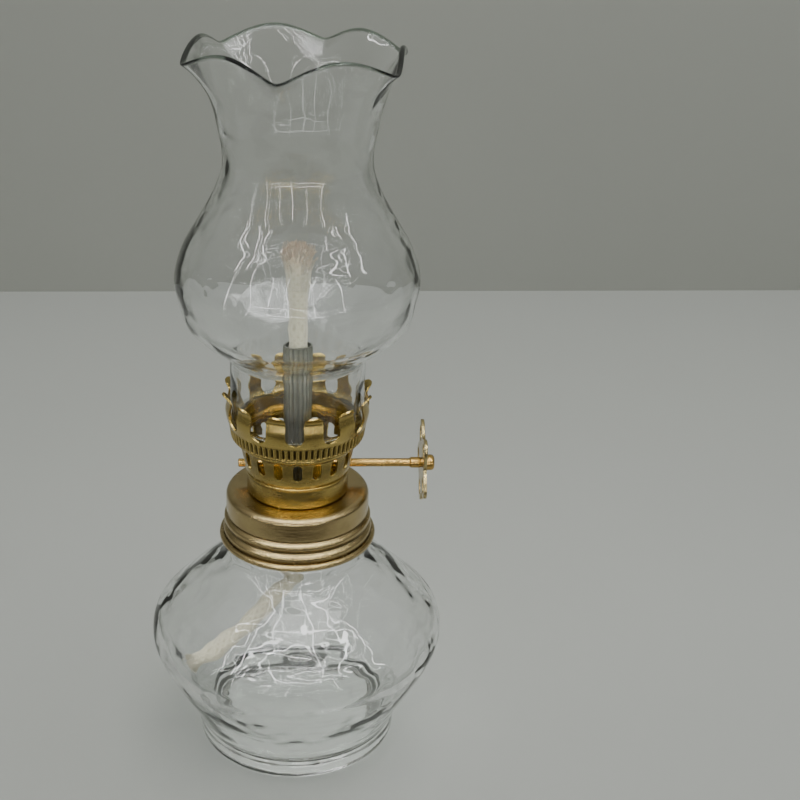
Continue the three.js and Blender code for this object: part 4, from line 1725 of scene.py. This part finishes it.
@dataclass
class Spindle:
    """Wick spindle with its feed wheel, thumbwheel and end button."""

    radius: float = 1.1
    y: float = 4.85
    z: float = 78.56
    left: float = -15.57
    right: float = 35.07
    stop: float = 1.45
    stop_length: float = 2.6
    wheel_left: float = 32.55
    wheel_thickness: float = 0.9
    wheel_radius: float = 9.6
    lobes: int = 5
    lobe_rise: float = 1.9
    lean: float = 30.0
    hole_radius: float = 2.1
    hole_circle: float = 7.8
    bore: float = 1.24
    button: float = 2.1
    button_left: float = 33.57
    button_length: float = 2.5
    feed_radius: float = 2.9
    feed_teeth: int = 10
    feed_depth: float = 0.7
    feed_thickness: float = 1.4

    def at(self, x: float = 0.0) -> Vector:
        """A point on the spindle's axis, in millimetres."""
        return Vector((x, self.y, self.z))

    def rod(self) -> bpy.types.Object:
        """The rod with its pressed stop.

        Returns:
            The rod.
        """
        end = self.wheel_left - REST_GAP
        stop_from = end - self.stop_length
        profile = (
            [(0, self.left)] + arc(self.radius - 0.3, self.left + 0.3, 0.3, -90, 0, 5)
            + line((self.radius, self.left + 0.6), (self.radius, stop_from - 0.6), 60)
            + smooth([(self.radius, stop_from - 0.5), (self.radius + 0.1, stop_from - 0.25),
                      (self.stop, stop_from), (self.stop, stop_from + 0.2)], 6)
            + line((self.stop, stop_from + 0.3), (self.stop, end - 0.15), 5)
            + [(self.stop - 0.12, end), (self.radius, end), (self.radius, self.right),
               (0, self.right)]
        )
        return Turning("wick_spindle", Lay.ALONG_SPINDLE, self.at()).turn(profile, 64).finish()

    def thumbwheel(self) -> bpy.types.Object:
        """The stamped thumbwheel with five lobes and five holes.

        Returns:
            The thumbwheel.
        """
        lean = math.radians(self.lean)
        outline = []
        for i in range(200):
            angle = TURN * i / 200
            r = self.wheel_radius + self.lobe_rise * math.cos(self.lobes * angle)
            outline.append((r * math.sin(angle + lean), r * math.cos(angle + lean)))
        holes = [circle((0, 0), self.bore, 40)]
        for k in range(self.lobes):
            turn = TURN * k / self.lobes + lean
            middle = (self.hole_circle * math.sin(turn), self.hole_circle * math.cos(turn))
            holes.append(circle(middle, self.hole_radius, 40))
        seat = self.at(self.wheel_left + self.wheel_thickness / 2)
        return stamped("thumb_wheel", [outline] + holes, self.wheel_thickness, 0.16, seat)

    def feed_wheel(self) -> bpy.types.Object:
        """The small toothed wheel that drives the wick.

        Returns:
            The feed wheel.
        """
        outline = []
        for i in range(self.feed_teeth * 8):
            wave = abs((i % 8) / 4 - 1)
            r = self.feed_radius - self.feed_depth * (1 - wave ** 0.8)
            angle = TURN * i / (self.feed_teeth * 8)
            outline.append((r * math.sin(angle), r * math.cos(angle)))
        return stamped("wick_feed_wheel", [outline, circle((0, 0), self.bore, 32)],
                       self.feed_thickness, 0.12, self.at())

    def end_button(self) -> bpy.types.Object:
        """The domed button on the spindle's end.

        Returns:
            The button.
        """
        depth = self.right - self.button_left + REST_GAP
        profile = (
            [(self.bore, 0)] + arc(self.button - 0.25, 0.25, 0.25, -90, 0, 5)
            + line((self.button, 0.5), (self.button, 1.3), 3)
            + arc(self.button - 0.9, self.button_length - 0.9, 0.9, 0, 80, 10)
            + [(0.5, self.button_length), (0, self.button_length)]
        )
        shape = Turning("spindle_end_button", Lay.ALONG_SPINDLE, self.at(self.button_left))
        return shape.turn([(0, depth), (self.bore, depth)] + profile, 64).finish()

    def build(self, finishes: Finishes) -> None:
        """Makes and dresses the spindle's pieces.

        Args:
            finishes: the lamp's finishes.
        """
        for piece, node, finish, slot in (
            (self.rod(), "spindle", finishes.spindle_brass, "spindle_brass"),
            (self.feed_wheel(), "feed_wheel", finishes.spindle_brass, "spindle_brass"),
            (self.thumbwheel(), "thumbwheel", finishes.thumbwheel_brass, "thumbwheel_brass"),
            (self.end_button(), "spindle_button", finishes.spindle_brass, "spindle_brass"),
        ):
            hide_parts(node)
            dress(piece, finish, "spindle")


def circle(middle: Pair, radius: float, sides: int) -> Profile:
    """Points of a circle.

    Args:
        middle: its centre.
        radius: its radius.
        sides: number of points.

    Returns:
        The points in order.
    """
    return [(middle[0] + radius * math.cos(TURN * i / sides),
             middle[1] + radius * math.sin(TURN * i / sides)) for i in range(sides)]


@dataclass
class Chimney:
    """Blown glass chimney with a straight foot, a round belly and a ruffled lip."""

    bottom: float = 94.57
    foot: float = 17.0
    foot_top: float = 111.77
    wall: float = 1.2
    belly: float = 29.9
    belly_z: float = 132.97
    waist: float = 17.8
    waist_z: float = 161.97
    lip: float = 24.3
    lip_z: float = 187.97
    drop: float = 3.5
    pull: float = 2.7
    reach: float = 15.0
    corners: tuple[float, ...] = (-10, 54, 111, 166, 224, 286)
    softness: float = 0.16
    lip_bead: float = 0.68

    def ruffle_at(self, azimuth: float) -> float:
        """How near an azimuth is to a ruffle's corner.

        Args:
            azimuth: angle from the front towards the thumbwheel.

        Returns:
            One at a corner and zero in the middle of a petal.
        """
        places = [math.radians(c) for c in self.corners]
        angle = (azimuth - places[0]) % TURN + places[0]
        later = [c for c in places if c > angle]
        end = later[0] if later else places[0] + TURN
        start = max(c for c in places if c <= angle + 1e-9)
        swing = max(0.0, math.sin(math.pi * (angle - start) / (end - start)))
        rounded = math.sqrt(swing ** 2 + self.softness ** 2) - self.softness
        return 1 - (rounded / (math.sqrt(1 + self.softness ** 2) - self.softness)) ** 0.9

    def ruffled(self, r: float, z: float, azimuth: float) -> Pair:
        """Pulls the lip out and down at each corner.

        Args:
            r: radius.
            z: height.
            azimuth: angle round the axis.

        Returns:
            The new radius and height.
        """
        near = max(0.0, 1 - (self.lip_z - z) / self.reach) ** 2
        corner = self.ruffle_at(azimuth) * near
        return r + self.pull * corner, z - self.drop * corner

    def outline(self) -> Profile:
        """Returns the glass's ring profile, with a fire-polished lip."""
        swell, fall, flare = (self.belly - self.foot, self.belly - self.waist,
                              self.lip - self.waist)
        low, mid, high = (self.belly_z - self.foot_top, self.waist_z - self.belly_z,
                          self.lip_z - self.waist_z)
        body = smooth([
            (self.foot + 0.05, self.foot_top),
            (self.foot + swell * 0.16, self.foot_top + low * 0.1),
            (self.foot + swell * 0.57, self.foot_top + low * 0.3),
            (self.foot + swell * 0.83, self.foot_top + low * 0.48),
            (self.foot + swell * 0.94, self.foot_top + low * 0.72),
            (self.belly, self.belly_z),
            (self.belly - fall * 0.18, self.belly_z + mid * 0.25),
            (self.belly - fall * 0.53, self.belly_z + mid * 0.5),
            (self.belly - fall * 0.86, self.belly_z + mid * 0.76),
            (self.waist, self.waist_z),
            (self.waist + flare * 0.2, self.waist_z + high * 0.35),
            (self.waist + flare * 0.46, self.waist_z + high * 0.6),
            (self.waist + flare * 0.76, self.waist_z + high * 0.83),
            (self.lip, self.lip_z),
        ], 110)
        outside = line((self.foot, self.bottom + 0.4), (self.foot, self.foot_top - 0.6), 14) + body
        inside = inset(outside, self.wall)
        foot_lip = arc(self.foot - self.wall / 2, self.bottom + 0.6, self.wall / 2, 180, 360, 9)
        (r0, z0), (r1, z1) = outside[-1], inside[-1]
        centre = ((r0 + r1) / 2, (z0 + z1) / 2)
        turn = math.degrees(math.atan2(z0 - centre[1], r0 - centre[0]))
        lip = arc(centre[0], centre[1], self.lip_bead, turn - 35, turn + 215, 16)
        return foot_lip[1:-1] + outside[1:] + lip + inside[::-1][:-1]

    def lip_place(self) -> float:
        """Returns how far along the profile the middle of the lip is, in centimetres."""
        profile = self.outline()
        top = max(range(len(profile)), key=lambda i: profile[i][1])
        return measure(profile[: top + 1]) / CM

    def build(self, finishes: Finishes) -> None:
        """Makes and dresses the chimney.

        Args:
            finishes: the lamp's finishes.
        """
        glass = Turning("ruffled_chimney").turn(self.outline(), 360, self.ruffled, ring=True)
        piece = glass.finish(60)
        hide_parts("chimney")
        dress(piece, finishes.chimney_glass, "chimney")


# ---- Studio -------------------------------------------------------------------------------


@dataclass
class Studio:
    """Camera, pale paper table and wall, soft light and what the glass and brass mirror.

    Places and sizes are in metres and angles in degrees.
    """

    eye: Place = (0.0, -0.3228, 0.2504)
    yaw: float = 4.61
    pitch: float = 25.05
    roll: float = 2.04
    lens: float = 63.0
    aim: Place = (0.0, 0.0, 0.09)
    floor_size: float = 1.6
    wall_y: float = 0.34
    wall_slant: float = 0.02
    wall_height: float = 1.0
    table_tone: Colour = (0.34, 0.352, 0.328, 1)
    wall_tone: Colour = (0.345, 0.355, 0.32, 1)
    # colour of the dark sheets painted into the metal's reflections
    dark_reflection_tone: Colour = (0.03, 0.024, 0.016, 1)
    room_tone: Colour = (0.93, 0.95, 0.92, 1)
    room_low: float = 0.13
    room_high: float = 0.75
    overhead_place: Place = (0.12, -0.05, 0.8)
    overhead_size: Pair = (0.7, 0.6)
    overhead_watts: float = 6.5
    bar_glow: float = 30.0
    bars_away: float = 0.9
    bars_low: float = 0.05
    bars_high: float = 0.7
    upright_azimuths: tuple[float, ...] = (-66, -47, -26, -8, 14, 38)
    upright_width: float = 0.006
    cross_levels: tuple[float, ...] = (0.13, 0.24)
    cross_size: Pair = (1.6, 0.006)
    rack_height: float = 0.8
    rail_places: tuple[float, ...] = (-0.68, -0.44, -0.17, 0.13, 0.4, 0.7)
    rail_y: float = -0.3
    rail_size: Pair = (0.011, 0.62)
    rung_places: tuple[float, ...] = (-0.62, -0.5, -0.4)
    rung_x: float = 0.02
    rung_size: Pair = (1.4, 0.009)
    surround_glow: float = 0.34
    surround_size: Pair = (1.6, 0.24)
    card_half: float = 0.3
    card_height: float = 0.003

    def camera(self) -> None:
        """Puts the camera in place and makes it the scene's own."""
        yaw, pitch, roll = (math.radians(a) for a in (self.yaw, self.pitch, self.roll))
        ahead = Vector((math.sin(yaw) * math.cos(pitch), math.cos(yaw) * math.cos(pitch),
                        -math.sin(pitch)))
        right = ahead.cross(Vector((0, 0, 1))).normalized()
        up = right.cross(ahead)
        x = right * math.cos(roll) + up * math.sin(roll)
        y = up * math.cos(roll) - right * math.sin(roll)
        data = bpy.data.cameras.new("studio_camera")
        data.lens = self.lens
        data.sensor_width = 36.0
        data.clip_start = 0.01
        camera = bpy.data.objects.new("studio_camera", data)
        bpy.context.scene.collection.objects.link(camera)
        camera.matrix_world = Matrix((
            (x.x, y.x, -ahead.x, self.eye[0]),
            (x.y, y.y, -ahead.y, self.eye[1]),
            (x.z, y.z, -ahead.z, self.eye[2]),
            (0, 0, 0, 1),
        ))
        bpy.context.scene.camera = camera

    def sheet(self, name: str, corners: list[Place], tone: Colour, one_sided: bool = False
              ) -> bpy.types.Object:
        """Lays one sheet of paper.

        Args:
            name: the sheet's name, and its paper's.
            corners: its corners in metres, anticlockwise seen from its front.
            tone: its paper's colour.
            one_sided: whether it is clear from behind.

        Returns:
            The sheet.
        """
        mesh = bpy.data.meshes.new(name)
        mesh.from_pydata(corners, [], [(0, 1, 2, 3)])
        sheet = bpy.data.objects.new(name, mesh)
        bpy.context.scene.collection.objects.link(sheet)
        mesh.materials.append(Paper(name, tone, one_sided).material())
        return sheet

    def lamp(
        self,
        name: str,
        place: Place,
        size: Pair,
        power: float,
        turn: float = 0.0,
    ) -> bpy.types.Object:
        """Hangs a light that looks at the lamp's middle.

        Args:
            name: the light's name.
            place: where it hangs, in metres.
            size: its two sides, in metres.
            power: its strength in watts.
            turn: its turn about its own axis, in degrees.

        Returns:
            The light.
        """
        data = bpy.data.lights.new(name, "AREA")
        data.shape = "RECTANGLE"
        data.size, data.size_y = size
        data.energy = power
        light = bpy.data.objects.new(name, data)
        bpy.context.scene.collection.objects.link(light)
        spin = Matrix.Rotation(math.radians(turn), 4, "Z")
        facing = (Vector(self.aim) - Vector(place)).to_track_quat("-Z", "Y")
        light.matrix_world = Matrix.Translation(place) @ facing.to_matrix().to_4x4() @ spin
        light.visible_camera = False
        return light

    def glowing(
        self, name: str, place: Place, size: Pair, glow: float, turn: float = 0.0
    ) -> bpy.types.Object:
        """Hangs a light of a given brightness, seen only in mirrors and through glass.

        Args:
            name: its name.
            place: its middle, in metres.
            size: its two sides, in metres.
            glow: its brightness.
            turn: its turn about its own axis, in degrees.

        Returns:
            The light.
        """
        light = self.lamp(name, place, size, glow * math.pi * size[0] * size[1], turn)
        light.visible_diffuse = False
        return light

    def paper(self) -> None:
        """Lays the table and stands the wall behind it."""
        half = self.floor_size / 2
        near, far = self.wall_y - self.wall_slant, self.wall_y + self.wall_slant
        self.sheet("table_paper", [(-half, -half, 0), (half, -half, 0), (half, half, 0),
                                   (-half, half, 0)], self.table_tone)
        self.sheet("wall_paper", [(-half, near, 0), (half, far, 0), (half, far, self.wall_height),
                                  (-half, near, self.wall_height)], self.wall_tone, True)

    def room(self) -> None:
        """Makes a dim room that is lighter overhead."""
        world = bpy.data.worlds.new("room")
        world.use_nodes = True
        bpy.context.scene.world = world
        bench = Bench(world.node_tree)
        upward = bench.add("SeparateXYZ", {0: bench.add("TexCoord").outputs["Generated"]})
        glow = bench.spread(upward.outputs[2], 0.05, 0.95, (self.room_low, self.room_high))
        bench.feed(world.node_tree.nodes["Background"], {0: self.room_tone, 1: glow})

    def tubes(self) -> None:
        """Hangs thin tubes in front and overhead, which show as lines in the glass."""
        high = (self.bars_low + self.bars_high) / 2
        rise = self.bars_high - self.bars_low
        for k, azimuth in enumerate(self.upright_azimuths):
            turn = math.radians(azimuth)
            place = (self.bars_away * math.sin(turn), -self.bars_away * math.cos(turn), high)
            self.glowing(f"upright_bar_{k}", place, (self.upright_width, rise), self.bar_glow,
                         3 * (k % 3) - 3)
        for k, level in enumerate(self.cross_levels):
            self.glowing(f"cross_bar_{k}", (0.0, -self.bars_away, level), self.cross_size,
                         self.bar_glow, k - 1.5)
        for k, across in enumerate(self.rail_places):
            self.glowing(f"rack_rail_{k}", (across, self.rail_y, self.rack_height),
                         self.rail_size, self.bar_glow, 14 * (k % 3) - 12)
        for k, back in enumerate(self.rung_places):
            self.glowing(f"rack_rung_{k}", (self.rung_x, back, self.rack_height),
                         self.rung_size, self.bar_glow, 2 * k - 2)

    def surrounds(self) -> None:
        """Puts pale panels round the lamp, seen only through the glass's edges."""
        for name, place in (
            ("left_surround", (-0.8, -0.1, 0.12)),
            ("right_surround", (0.8, -0.1, 0.12)),
            ("front_surround", (0.0, -0.85, 0.12)),
        ):
            panel = self.glowing(name, place, self.surround_size, self.surround_glow)
            panel.visible_glossy = False

    def dark_reflectors(self) -> None:
        """Lays dark sheets in front that stand in for the dim room, seen only as painted
        reflections in the metal.
        """
        for name, near, far in (("near_dark_reflector", -0.1, -0.19), ("far_dark_reflector", -0.25, -0.55)):
            corners = [(x, y, self.card_height) for x, y in (
                (-self.card_half, far), (self.card_half, far),
                (self.card_half, near), (-self.card_half, near))]
            card = self.sheet(name, corners, self.dark_reflection_tone)
            card.visible_camera = card.visible_diffuse = False
            card.visible_transmission = card.visible_shadow = False

    def build(self) -> None:
        """Lays the paper, and hangs the lights and what is mirrored."""
        self.paper()
        self.room()
        soft = self.lamp("overhead_box", self.overhead_place, self.overhead_size,
                         self.overhead_watts)
        soft.visible_glossy = False
        self.tubes()
        self.surrounds()
        self.dark_reflectors()


def main() -> None:
    """Builds the lamp in order."""
    logging.basicConfig(level=logging.INFO, format="%(name)s %(message)s")
    studio = Studio()
    studio.camera()
    chimney = Chimney()
    finishes = Finishes(chimney.lip_place())
    spindle = Spindle()
    Wick().build(finishes)
    Font().build(finishes)
    ScrewCap().build(finishes)
    Burner().build(finishes, spindle.y, spindle.z)
    WickTube().build(finishes, spindle.z)
    spindle.build(finishes)
    chimney.build(finishes)
    studio.build()
    bpy.context.view_layer.update()


if __name__ == "__main__":
    main()
